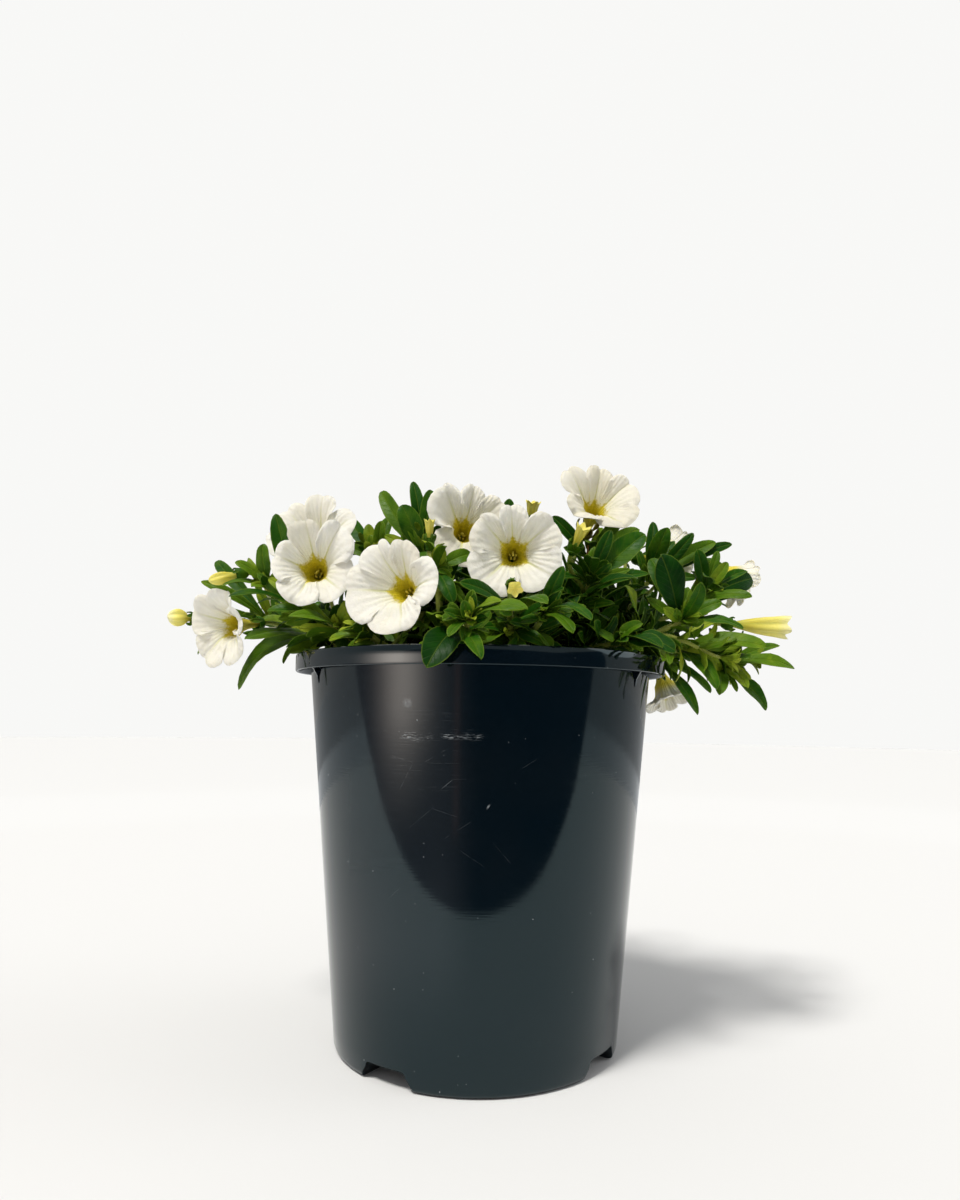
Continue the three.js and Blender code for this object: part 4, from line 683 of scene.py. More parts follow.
def petal_skin():
    """White petals with a yellow throat that runs out along the veins, and a yellow-green tube behind."""
    skin = Finish("petal", Roughness=0.6, IOR=1.4, Specular_IOR_Level=0.3, Subsurface_Weight=0.25,
                  Subsurface_Radius=(1.0, 0.9, 0.6), Subsurface_Scale=0.0012)
    reach, share, under, across = (skin.mark(key) for key in ("reach", "share", "under", "petal"))
    off = skin.calc("ABSOLUTE", across)
    ragged = skin.noise(1.1, 3)
    fine = skin.calc("SINE", skin.times(across, 26.0))
    vein = skin.times(skin.step(skin.times(off, reach, 0.63), 0.1, 0.65, 1, 0),
                      skin.step(share, 0.05, 0.85, 0.72, 0.1))
    threads = skin.times(skin.step(fine, 0.6, 1.0), skin.step(share, 0.1, 0.8, 0.34, 0.06))

    # The tone shifts the white of a bloom; on the top-right bloom it is lowered to paint shade.
    tinge = skin.plus(skin.times(skin.noise(9, 3), 0.6), skin.times(skin.mark("tone"), 0.4))
    white = skin.ramp(tinge, (0.0, (0.60, 0.575, 0.48)), (0.2, (0.76, 0.725, 0.61)),
                      (0.6, (0.82, 0.80, 0.72)), (0.9, (0.85, 0.84, 0.77)))
    white = skin.mix(skin.step(share, 0.02, 0.5, 0.55, 0), white, (0.80, 0.78, 0.58))
    white = skin.mix(threads, white, (0.70, 0.72, 0.55))
    white = skin.mix(vein, white, (0.62, 0.62, 0.22))

    # The yellow of the throat is painted lighter deepest in the tube than part way out: painted light against
    # the shade in the tube.
    gold_with_painted_light = skin.ramp(skin.calc("DIVIDE", reach, 7.5), (0.2, (0.60, 0.52, 0.01)), (0.5, (0.56, 0.45, 0.01)),
                     (0.95, (0.66, 0.56, 0.05)))
    gold_with_painted_light = skin.mix(skin.times(skin.step(ragged, 0.45, 0.65), 0.3), gold_with_painted_light, (0.22, 0.20, 0.004))
    inward = skin.calc("POWER", skin.minus(1.0, off), 3.0)
    limit = skin.plus(skin.times(inward, 1.8), skin.times(ragged, 3.0), THROAT - 2.1)
    face = skin.mix(skin.step(skin.minus(reach, limit), -0.9, 0.9, 1, 0), white, gold_with_painted_light)

    stripes = skin.step(skin.calc("ABSOLUTE", fine), 0.75, 1.0, 0, 0.4)
    tube = skin.mix(stripes, (0.82, 0.69, 0.07), (0.50, 0.46, 0.04))
    back = skin.mix(skin.times(vein, 0.7), white, (0.66, 0.68, 0.34))
    behind = skin.mix(skin.step(share, 0.04, 0.45), tube, back)
    skin.wear(Base_Color=skin.mix(under, face, behind))
    crepe = skin.plus(skin.times(skin.noise(1.5, 4), 1.3), skin.times(fine, 0.3),
                      skin.times(skin.noise(4.5, 2), 1.6))
    skin.relief(skin.minus(crepe, skin.times(vein, 0.6)), 0.27)
    return skin.material


def bud_skin():
    """Buds: green at the foot, then yellow and paler towards the tip, with greener flutes."""
    skin = Finish("bud petal", Roughness=0.5, IOR=1.4, Subsurface_Weight=0.2,
                  Subsurface_Radius=(1.0, 0.9, 0.4), Subsurface_Scale=0.001)
    pale = skin.ramp(skin.mark("grown"), (0.0, (0.30, 0.36, 0.04)), (0.35, (0.68, 0.59, 0.06)),
                     (0.75, (0.86, 0.78, 0.19)), (1.0, (0.93, 0.89, 0.55)))
    fluted = skin.mix(skin.times(skin.step(skin.mark("flute"), 0.55, 1.0), 0.3), pale, (0.46, 0.50, 0.10))
    blotches = skin.times(skin.step(skin.noise(2, 3), 0.5, 0.7), 0.2)
    skin.wear(Base_Color=skin.mix(blotches, fluted, (0.62, 0.54, 0.16)))
    skin.relief(skin.noise(0.9, 3), 0.12)
    return skin.material


POT_PLASTIC, LEAF_SKIN, STEM_SKIN, PETAL_SKIN, BUD_SKIN = (
    pot_plastic(), leaf_skin(), stem_skin(), petal_skin(), bud_skin())
PEAT = mottled("dark potting mix", 2.2, 5, ((0.3, (0.006, 0.004, 0.003)), (0.55, (0.022, 0.013, 0.008)),
                                            (0.8, (0.06, 0.038, 0.022))), (1.3, 4, 0.9), Roughness=0.95)
CRUMB = mottled("mix crumb", 3.5, 2, ((0.3, (0.008, 0.005, 0.003)), (0.6, (0.035, 0.02, 0.011)),
                                      (0.85, (0.10, 0.066, 0.036))), Roughness=0.95)
WHITE_GRAIN = mottled("white grain", 1, 3, ((0.3, (0.5, 0.48, 0.42)), (0.7, (0.78, 0.76, 0.7))),
                      Roughness=0.9)
HAIR_SKIN = mottled("fine plant hair", 3, 2, ((0.3, (0.5, 0.56, 0.36)), (0.7, (0.72, 0.76, 0.58))),
                    Roughness=0.4)
POLLEN = mottled("pollen", 0.5, 3, ((0.3, (0.55, 0.42, 0.02)), (0.7, (0.85, 0.74, 0.10))), (0.25, 2, 0.1),
                 Roughness=0.8)


def keep(thing, slot, *nodes):
    """Rides a finished piece on the one body, in place of the nodes it stands for."""
    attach(thing, "root")
    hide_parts(*nodes)
    return thing


# ---------------------------------------------------------------- pot


def outside(z):
    return POT["base"] + (POT["shoulder"] - POT["base"]) / POT["height"] * z


def inside(z):
    return outside(z) - POT["wall"]


def lathed(name, profile):
    form = Form()
    add_turned(form, profile, POT_SIDES)
    return form.piece(name, POT_PLASTIC, 35)


def lathe_pot():
    """The whole pot without its channels, and a solid as large as its outer wall."""
    top, lip = POT["height"], POT["lip"]
    under = top - POT["lip_depth"]
    foot = [(0, 0), (60, 0), (61.6, 0.1), (62.7, 0.5), (63.4, 1.3)]
    wall = [(outside(z), z) for z in np.linspace(2.6, top - 2.2, 22)]
    skirt = [(76.7, top - 1.5), (77.4, top - 1.3), (lip - 1.9, top - 1.3), (lip - 1.4, top - 1.9),
             (lip - POT["lip_wall"], under + 0.5), (lip - 1.1, under + 0.1), (lip - 0.3, under),
             (lip - 0.05, under + 0.3), (lip, under + 0.8)]
    brim = [(lip, 168.4), (lip - 0.08, top - 1.0), (lip - 0.35, top - 0.35), (lip - 0.9, top),
            (77.6, top - 0.1), (76.4, top - 0.2), (75.6, top - 0.6), (75.1, top - 1.4)]
    hollow = [(inside(z), z) for z in np.linspace(top - 3, 5, 10)]
    hollow += [(62.3, 3.4), (61.3, 2.3), (60, POT["floor"]), (0, POT["floor"])]
    pot = lathed("nursery_pot", [*foot, *wall, *skirt, *brim, *hollow])
    return pot, lathed("pot envelope", [*foot, *wall, (outside(top - 1), top - 1), (0, top - 1)])


def prism(form, outline, start, angle, depth=45):
    """A bar of the outline (across, height) that runs outwards from start, turned about the pot's axis."""
    turn = math.radians(angle)
    points = [(x, -(start + far), z) for far in (0, depth) for x, z in outline]
    turned = [(x * math.cos(turn) - y * math.sin(turn), x * math.sin(turn) + y * math.cos(turn), z)
              for x, y, z in points]
    n = len(outline)
    form.add(turned, [list(range(n))[::-1], list(range(n, 2 * n)), *belt(n)])


def channel_outline(extra):
    """A drain channel's cross-section, grown by extra: flared at the ground, with a rounded roof."""
    low, high, top = CHANNEL["low"] + extra, CHANNEL["high"] + extra, CHANNEL["height"] + extra
    bend = 2.2
    half = [(low, -5), (low, 0)]
    half += [(low + (high + 1.4 - low) * t, (top - bend) * t**0.8) for t in (0.25, 0.5, 0.75, 1)]
    half += [(high - 1 + 2.4 * math.cos(a), top - bend + bend * math.sin(a)) for a in (0.4, 0.8, 1.2)]
    half.append((high - 1, top))
    return half + [(-x, z) for x, z in reversed(half)]


def add_channel(hoods, cuts, angle):
    """The hood over a drain channel, and what is cut out of the pot for it and for its round hole."""
    prism(hoods, channel_outline(POT["wall"]), CHANNEL["inner"] - POT["wall"], angle)
    prism(cuts, channel_outline(0), CHANNEL["inner"], angle)
    hole = Form()
    add_turned(hole, [(0, 4), (CHANNEL["hole"], 4), (CHANNEL["hole"], 12), (0, 12)], 28)
    cuts.add(hole.points[0] + heading(angle, 0) * CHANNEL["hole_at"], hole.faces)


def add_rib(form, angle):
    """A stacking rib: a thin web that stands out under the lip and tapers down the wall."""
    out = heading(angle, 0)
    side = np.cross(vec(0, 0, 1), out)
    high = POT["height"] - 1
    low, reach = high - RIB["drop"], outside(high) + RIB["reach"]
    web = [(outside(high) - 0.7, high), (outside(low) - 0.7, low), (outside(low) + 0.2, low),
           (outside(163) + 0.5, 162.4), (outside(high) + 1.4, 165.2), (reach, 168.2), (reach, high)]
    points = [out * r + side * k * RIB["width"] / 2 + vec(0, 0, z) for k in (-1, 1) for r, z in web]
    n = len(web)
    walls = [[(i + 1) % n, i, n + i, n + (i + 1) % n] for i in range(n)]
    form.add(points, [list(range(n)), list(range(n, 2 * n))[::-1], *walls])


def cut(body, operation, tool):
    modifier = body.modifiers.new("cut", "BOOLEAN")
    modifier.operation, modifier.object, modifier.solver = operation, tool, "EXACT"
    baked(body)


def cut_pot():
    """The pot: a lathed wall and lip, with hoods over four drain channels, their holes and stacking ribs."""
    pot, block = lathe_pot()
    forms = {"hoods": Form(), "ribs": Form(), "cuts": Form()}
    for angle in CHANNEL["angles"]:
        add_channel(forms["hoods"], forms["cuts"], angle)
    for angle in RIB["angles"]:
        add_rib(forms["ribs"], angle)
    tools = {key: form.piece("pot " + key, POT_PLASTIC) for key, form in forms.items()}
    cut(tools["hoods"], "INTERSECT", block)
    for operation, key in (("UNION", "hoods"), ("UNION", "ribs"), ("DIFFERENCE", "cuts")):
        cut(pot, operation, tools[key])
    for tool in (block, *tools.values()):
        bpy.data.objects.remove(tool)
    smoothed(pot.data, 32)
    pot.data.materials.clear()
    pot.data.materials.append(POT_PLASTIC)
    keep(pot, "pot_plastic", "pot")


# ---------------------------------------------------------------- potting mix


def mix_top(x, y):
    """The height of the mix: a low mound with lumps, level at the wall."""
    r = np.hypot(x, y) / inside(MIX["top"])
    lumps = 0.8 * np.sin(x * 0.31 + 1) * np.cos(y * 0.27) + 0.5 * np.sin(x * 0.13 - y * 0.19)
    return MIX["top"] + MIX["mound"] * (1 - r * r) + lumps * (1 - r**4)


def lumpy(radius, height, turn):
    """Raises the rings on top of the mix to its mound and lumps, with finer lumps on them."""
    x, y = radius * np.cos(turn), radius * np.sin(turn)
    fine = 0.7 * np.sin(x * 1.9 + 2 * np.sin(y * 0.7)) * np.cos(y * 1.7 + x * 0.4)
    fine += 0.35 * np.sin(x * 3.7 - y * 2.9)
    on_top = (height >= MIX["top"]) * 1.0
    return radius, height + on_top * (mix_top(x, y) - MIX["top"] + fine * 0.7)


def fill_pot():
    """The potting mix: it fills the pot, lumpy on top, with crumbs and white grains strewn over it."""
    reach = inside(MIX["top"]) - 0.4
    low = CHANNEL["height"] + POT["wall"] + 0.3
    peak = (0, mix_top(0, 0))
    side = [(61.8, low), *((inside(z) - 0.4, z) for z in (low + 0.8, 40, 80, 120, 150)),
            (reach, MIX["top"] - 1.2)]
    top = [(reach * share, MIX["top"]) for share in np.linspace(0.985, 0.03, 34)]
    form = Form()
    add_turned(form, [(0, low), *side, *top, peak], 96, wave=lumpy)
    keep(form.piece("mix_body", PEAT, 60), "potting_mix", "potting_mix")

    bare = Form()
    top = [(reach * share, MIX["top"]) for share in np.linspace(0.94, 0.05, 24)]
    add_turned(bare, [(0, 158.4), (70.5, 158.6), (71, 160), *top, peak], 72, wave=lumpy)
    tree = scatter_tree("crumb")
    for name, finish, density, least, most, seed in (("mix_crumbs", CRUMB, 52000.0, 0.001, 0.0034, 4),
                                                     ("mix_grains", WHITE_GRAIN, 2600.0, 0.001, 0.0028, 9)):
        strewn = grown(name, bare.mesh(name, PEAT), tree, Density=density, Least=least, Most=most, Seed=seed,
                       Finish=finish)
        keep(strewn, "potting_mix", "potting_mix")


# ---------------------------------------------------------------- leaves


def leaf_shape(u, blunt=False):
    """The width of a leaf along its length, as a share: as in the solids, or with a blunter tip."""
    rise = LEAF["petiole"] + (1 - LEAF["petiole"]) * smooth(u, 0.04, LEAF["widest"])
    past = np.maximum(u - LEAF["widest"], 0) / (1 - LEAF["widest"])
    power, end = (2.7, 0.5) if blunt else (2.1, 0.62)
    return rise * np.maximum(1 - past**power, 0) ** end


# The grids of a blade: shares of its length, and of half its width from the left margin to the right one.
BLADE = {
    "large": (np.array([0, 0.06, 0.14, 0.24, 0.35, 0.46, 0.57, 0.68, 0.78, 0.87, 0.94, 0.985, 1]),
              np.array([-1, -0.62, -0.2, 0, 0.2, 0.62, 1])),
    "inner": (np.array([0, 0.1, 0.24, 0.4, 0.55, 0.7, 0.84, 0.95, 1]), np.array([-1, -0.5, 0, 0.5, 1])),
    "small": (np.array([0, 0.12, 0.3, 0.5, 0.68, 0.83, 0.94, 1]), np.array([-1, -0.5, 0, 0.5, 1])),
}
LEAST_HALF = 0.14  # half the width of a leaf at its foot and its tip


def lay_blade(form, foot, tip, up, width, arch, rng, size="large", tone=0.4, dry=0.0, cup=0.22,
              thickness=0.42, blunt=True):
    """One leaf: a thin blade folded along its rib, its margins curled and waved and its tip bent down."""
    u, v = BLADE[size]
    chord = tip - foot
    length = np.linalg.norm(chord)
    along = chord / length
    up = square_to(up, along)
    side = np.cross(along, up)
    half = np.maximum(width / 2 * leaf_shape(u, blunt), LEAST_HALF)[:, None]
    bow = 4 * u * (1 - u) * arch * length
    bow -= rng.uniform(0.5, 1.6) * np.maximum(u - 0.62, 0) ** 2 * length * 0.35
    u, v = u[:, None], v[None, :]
    roll = rng.uniform(-0.05, 0.12)
    wave = 0.07 * width * np.sin(2 * math.pi * (u * rng.uniform(1.2, 2.2) + rng.uniform())) * v * np.abs(v)
    lift = half * (cup * np.abs(v) ** 1.2 - roll * v**4 * 2) + wave * smooth(u, 0.1, 0.5)
    lift -= 0.2 * bell(v * half, 0, 0.5)
    swing = rng.uniform(-0.05, 0.05) * length * (u * (1 - u)) * 2
    points = (foot + chord * u)[:, None, :] + side * (half * v * math.cos(cup) + swing)[..., None]
    points = points + up * (bow[:, None] + lift)[..., None]
    thin = thickness * (1 - 0.45 * np.abs(v)) * np.ones_like(half)
    add_shell(form, points, thin, rib=half * v, edge=half * (1 - np.abs(v)), run=u * length, tone=tone,
              dry=dry)


def merged(node):
    """A node's points in millimetres and its triangles, with the doubles merged."""
    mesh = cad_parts[node].data
    mesh.calc_loop_triangles()
    points = np.array([v.co for v in mesh.vertices]) * 1000
    faces = np.array([t.vertices for t in mesh.loop_triangles])
    spots = np.round(points * 500).astype(int)
    first, back = np.unique(spots, axis=0, return_index=True, return_inverse=True)[1:]
    return points[first], back.reshape(-1)[faces]


def leaf_rings(points, near, tip):
    """The rings of a solid leaf behind its tip, as (middle, width, up): two margins and a keel below them."""
    ring, seen, rings = near[tip], {tip}, []
    while len(ring) == 3:
        keels = []
        for k in ring:
            a, b = (points[j] for j in ring if j != k)
            drop = points[k] - (a + b) / 2
            keels.append((abs(np.linalg.norm(drop) - LEAF["keel"]) + abs(np.dot(drop, unit(b - a))), k))
        error, keel = min(keels)
        if error > 0.06:
            break
        a, b = (points[j] for j in ring if j != keel)
        rings.append(((a + b) / 2, np.linalg.norm(b - a), unit((a + b) / 2 - points[keel])))
        seen |= set(ring)
        ring = set().union(*(near[k] for k in ring)) - seen
    return rings


def solid_leaves(node):
    """Every leaf of a branch's solid as (foot, tip, up, width, arch). A leaf ends in a point of three edges,
    and behind it stand two rings, or three in a long leaf, at known shares of its length."""
    points, faces = merged(node)
    near = [set() for _ in points]
    for a, b, c in faces:
        near[a] |= {b, c}
        near[b] |= {a, c}
        near[c] |= {a, b}
    found = []
    for tip in range(len(points)):
        rings = leaf_rings(points, near, tip)
        if len(rings) not in (2, 3):
            continue
        long = len(rings) == 3 or rings[0][1] / rings[1][1] < 0.86
        shares = (0.86, 0.62) if long else (0.8, 0.45)
        first, second = ((ring[0] - points[tip]) / (1 - u) for ring, u in zip(rings, shares))
        bow = (second - first) / (4 * (shares[1] - shares[0]))
        foot = points[tip] + first - 4 * shares[0] * bow
        width = rings[0][1] / leaf_shape(np.array(shares[0]))
        length = np.linalg.norm(points[tip] - foot)
        up = rings[1][2]
        found.append((foot, points[tip], up, float(width), float(np.dot(bow, up) / length)))
    return found


def has_room(foot, tip):
    """True if a leaf would stay in the part's box, above the pot and out of the way of the flowers. Where a
    bloom and a bud have the same name, both keep the room of both."""
    if np.any(tip < low_mm + 1) or np.any(tip > high_mm - 1):
        return False
    if tip[2] < (166 if np.hypot(tip[0], tip[1]) < 84 else 150):
        return False
    for spot in (tip, (tip + foot) / 2):
        for flower in FLOWERS:
            away = spot - flower.base
            ahead = float(np.dot(away, flower.facing))
            off = np.linalg.norm(away - ahead * flower.facing)
            if flower.name in BLOOMS and 0 < ahead < 90 and off < min(6 + ahead * 0.75, 20):
                return False
            if flower.name in BUDS and -2 < ahead < 34 and off < 7:
                return False
    return True


def bent_clear(foot, tip):
    """The tip of a leaf, bent down as far as it takes to leave the faces of the front blooms free."""
    length = np.linalg.norm(tip - foot)
    for drop in (0, 0.4, 0.8, 1.3, 2, 3):
        end = foot + unit(unit(tip - foot) - vec(0, 0, drop)) * length
        free = True
        for name in NOTCHES:
            rim, facing = vec(*BLOOMS[name].rim), heading(*BLOOMS[name].faces)
            for spot in (end, foot + (end - foot) * 0.6):
                ahead = np.dot(spot - rim, facing)
                free &= not (-2 < ahead < 40 and np.linalg.norm(spot - rim - ahead * facing) < 17.5)
        if free:
            return end
    return tip


def twigs(name):
    """Short leafy side shoots that fill the middle of the plant, as curves that stand in the mix."""
    rng = np.random.default_rng(sum(map(ord, name)) + 50)
    found = []
    root = vec(*BRANCHES[name][0])
    most = 9 if name.startswith("right") else 5
    for _ in range(TWIG_TRIES):
        a, off = rng.uniform(0, 2 * math.pi), rng.uniform(5, 34)
        foot = root + off * vec(math.cos(a), math.sin(a))
        lean, tall = rng.uniform(0.1, 0.32), rng.uniform(22, 46)
        if np.linalg.norm(foot) > 66 or len(found) == most:
            continue
        start = vec(*foot, MIX["top"] - 6)
        tip = vec(*(foot * (1 + lean)), MIX["top"] + tall * (1.1 - 0.35 * np.linalg.norm(foot) / 64))
        below_top_bloom = 28 < tip[0] < 74 and tip[1] < -32
        if has_room(start + vec(0, 0, 10), tip) and not below_top_bloom:
            found.append((start, start + vec(0, 0, tall * 0.5), tip - vec(*(foot * lean), tall * 0.4), tip))
    return found


def sprigs(name):
    """The curves of a branch's sprigs, each with how much lighter it is."""
    found = []
    for shoot, share, tip, lighter in SPRIGS.get(name, ()):
        line = LINES[name][shoot]
        start, tip = on_curve(line, share), vec(*tip)
        reach = np.linalg.norm(tip - start)
        along = unit(on_curve(line, share + 0.01) - start)
        curve = start, start + along * reach * 0.4, tip - unit(tip - start) * reach * 0.3, tip
        found.append((curve, lighter))
    return found


def lay_whorl(form, rng, line, share, count, size, light):
    """Leaves all round a stem, spread wide low on it and folded forwards at its tip."""
    centre = on_curve(line, share)
    along = unit(on_curve(line, min(share + 0.01, 1)) - on_curve(line, share - 0.02))
    zero = square_to(vec(0.2, 0.3, 1), along)
    quarter = np.cross(along, zero)
    start = rng.uniform(0, 7)
    for k in range(count):
        a = start + 2 * math.pi * k / count + rng.uniform(-0.3, 0.3)
        out = zero * math.cos(a) + quarter * math.sin(a)
        spread = math.radians(74 - 44 * share + rng.uniform(-12, 12))
        end = centre + (along * math.cos(spread) + out * math.sin(spread)) * size * rng.uniform(0.75, 1.2)
        if has_room(centre, end):
            face = along * math.sin(spread) - out * math.cos(spread)
            lay_blade(form, centre, end, face, size * rng.uniform(0.26, 0.34), 0.08, rng,
                      "small" if size < YOUNG else "large",
                      light + rng.uniform(-0.2, 0.2) + (0.3 if size < YOUNG else 0))


def lay_twig_whorl(form, rng, line, share, light):
    """Four leaves round an upright side shoot, rising more steeply towards its tip."""
    centre = on_curve(line, share)
    start = rng.uniform(0, 7)
    for k in range(4):
        a = start + math.pi / 2 * k + rng.uniform(-0.3, 0.3)
        slope = math.radians(rng.uniform(5, 35) + 30 * share)
        out = vec(math.cos(a), math.sin(a), 0)
        end = centre + (out * math.cos(slope) + vec(0, 0, math.sin(slope))) * rng.uniform(15, 25)
        if has_room(centre, end):
            lay_blade(form, centre, end, vec(0, 0, 1) - out * 0.3, rng.uniform(5, 7.5), 0.1, rng, "inner",
                      light + rng.uniform(-0.2, 0.2))


def lay_leaf(form, rng, foot, tip, up, width, arch, light):
    """A leaf of the solid, with two young ones in its axil where it is long enough. The broadest are dark."""
    tip = bent_clear(foot, tip)
    length = np.linalg.norm(tip - foot)
    tone = light + rng.uniform(-0.22, 0.22) + (0.12 if length < 18 else 0)
    lay_blade(form, foot, tip, up, width, arch, rng, tone=0.08 if width > 12 else tone)
    if length < 15:
        return
    along = unit(tip - foot)
    side = np.cross(along, up)
    for sign in (-1, 1):
        way = unit(along + side * sign * rng.uniform(0.35, 0.8) + up * rng.uniform(0.1, 0.6))
        end = foot + way * length * rng.uniform(0.36, 0.62)
        if has_room(foot, end):
            lay_blade(form, foot, end, up + 0.3 * way, rng.uniform(3.0, 5.2), 0.08, rng, "small", tone + 0.18)


def leaf_out(name):
    """The leaves of one branch: every leaf of its solid, and those of its side shoots, sprigs and whorls."""
    rng = np.random.default_rng(sum(map(ord, name)))
    form = Form()
    light = BRANCH_TONE[name]
    # The leaves of the side shoots in the middle of the plant are 0.4 darker in tone: painted shade deep in
    # the plant.
    for line in twigs(name):
        for share in TWIG_WHORLS:
            lay_twig_whorl(form, rng, line, share, light - 0.4)
    for line, lighter in sprigs(name):
        for whorl in SPRIG_WHORLS:
            lay_whorl(form, rng, line, *whorl, light + lighter)
    for leaf in solid_leaves("branch_" + name):
        lay_leaf(form, rng, *leaf, light)
    for line in LINES[name]:
        for whorl in SHOOT_WHORLS:
            lay_whorl(form, rng, line, *whorl, light)
    if name == "top":  # one dry, curled leaf hangs below the bloom at the top right
        lay_blade(form, vec(46, -18, 222), vec(44.5, -25, 197), vec(0.2, -1, 0.3), 4.6, -0.06, rng, dry=1.0,
                  cup=0.7)
    keep(form.piece("leaves_" + name, LEAF_SKIN), "foliage", "branch_" + name)


# ---------------------------------------------------------------- stems and calyxes


def grow_stems(name):
    """A branch's stems and flower stalks as round bars. Stems thin towards their tips, stalks widen."""
    root = BRANCHES[name][0]
    rng = np.random.default_rng(7 + len(name))
    points, edges, thick, tone = [], [], [], []

    def bar(line, radii, light):
        start = len(points)
        points.extend(line)
        edges.extend((start + i, start + i + 1) for i in range(len(line) - 1))
        thick.extend(radii)
        tone.extend(np.broadcast_to(light, len(line)))

    foot = vec(*root, MIX["top"] - 11)
    fork = vec(*root, MIX["top"] + STEM["fork"] + 0.6)
    t = np.linspace(0, 1, 6)[:, None]
    bar(foot + (fork - foot) * t, np.full(6, STEM["low"] * 1.04), 0.3)
    light = BRANCH_TONE[name] + 0.12
    t = np.linspace(0, 1, 34)
    radii = STEM["low"] + (STEM["high"] - STEM["low"]) * t
    knots = 0.28 * sum(bell(t, share, 0.018) for share in (0.42, 0.6, 0.72, 0.85))
    for line in LINES[name]:
        bar(on_curve(line, t), radii * (1 + 0.6 * knots) * np.where(t > 0.985, 0.75, 1), light + 0.25 * t)
    t = np.linspace(0, 1, 16)
    for line in twigs(name):
        bar(on_curve(line, t), 1.15 - 0.4 * t, light)
    for line, _ in sprigs(name):
        bar(on_curve(line, t), 1.0 - 0.35 * t, light + 0.2)
    for flower in FLOWERS:
        if flower.on[0] == name:
            bar(on_curve(stalk_line(flower), t), STALK["low"] + (STALK["high"] - STALK["low"]) * t,
                light + 0.15 + rng.uniform(-0.1, 0.1))
    mesh = line_mesh("stems_" + name, points, edges, thick=np.array(thick) / 1000, tone=tone)
    return keep(grown("stems_" + name, mesh, BARS, Finish=STEM_SKIN), "foliage", "branch_" + name)


def add_calyx(form, rng, flower):
    """The green cup round the foot of a flower, with five narrow sepals that stand away at their tips."""
    base, facing, bore = flower.base, flower.facing, flower.bore
    across, up = flower_axes(facing)
    dry = 0.4 if flower.name == "right_top" else 0.0
    cup = [(0, -2.2), (1.0, -2.0), (1.5, -1.5), (bore - 0.1, -0.7), (bore + 0.6, 0.6), (bore + 0.8, 2.2),
           (bore + 0.7, 3.1), (bore + 0.35, 3.1), (bore + 0.3, 2), (bore - 0.2, 0.5), (0, -0.2)]
    add_turned(form, cup, 20, (base, across, up, facing), tone=0.5, edge=5.0, rib=3.0, under=0.0, run=0.0,
               dry=dry)
    width, far, wide = (2.7, (2.2, 3.6), (1.6, 3.2)) if flower.calyx > 5 else (1.7, (0.2, 1), (0.5, 1.2))
    for k in range(5):
        a = 2 * math.pi * (k + 0.25) / 5
        out = across * math.cos(a) + up * math.sin(a)
        foot = base + facing * 1.2 + out * (bore + 0.55)
        tip = base + facing * (flower.calyx + rng.uniform(*far)) + out * (bore + rng.uniform(*wide))
        lay_blade(form, foot, tip, out, width, 0.05, rng, "small", tone=rng.uniform(0.35, 0.7), dry=dry,
                  thickness=0.5, blunt=False)


def grow_calyxes(name):
    form = Form()
    rng = np.random.default_rng(len(name))
    for flower in FLOWERS:
        if flower.on[0] == name:
            add_calyx(form, rng, flower)
    keep(form.piece("calyxes_" + name, LEAF_SKIN), "foliage", "branch_" + name)


# ---------------------------------------------------------------- blooms

# A bloom's tube as (radius, height) along its axis, and the shares of a petal's length from the throat out.
TUBE = np.array([(1.0, 0.4), (1.35, 3), (1.75, 6), (2.1, 8.6), (2.8, 11), (3.7, 12.9)])
SPREAD = np.array([0, 0.07, 0.15, 0.24, 0.34, 0.45, 0.56, 0.67, 0.77, 0.86, 0.93, 0.975, 1])
MOUTH = 4.8  # the radius where the tube opens into the petals


def fold_of(name, petal):
    """How deep a petal is pleated, where 1 is usual."""
    if name == "left_front" and petal < 2:
        return 2.4
    return 2.0 if name == "right_top" else 1.0


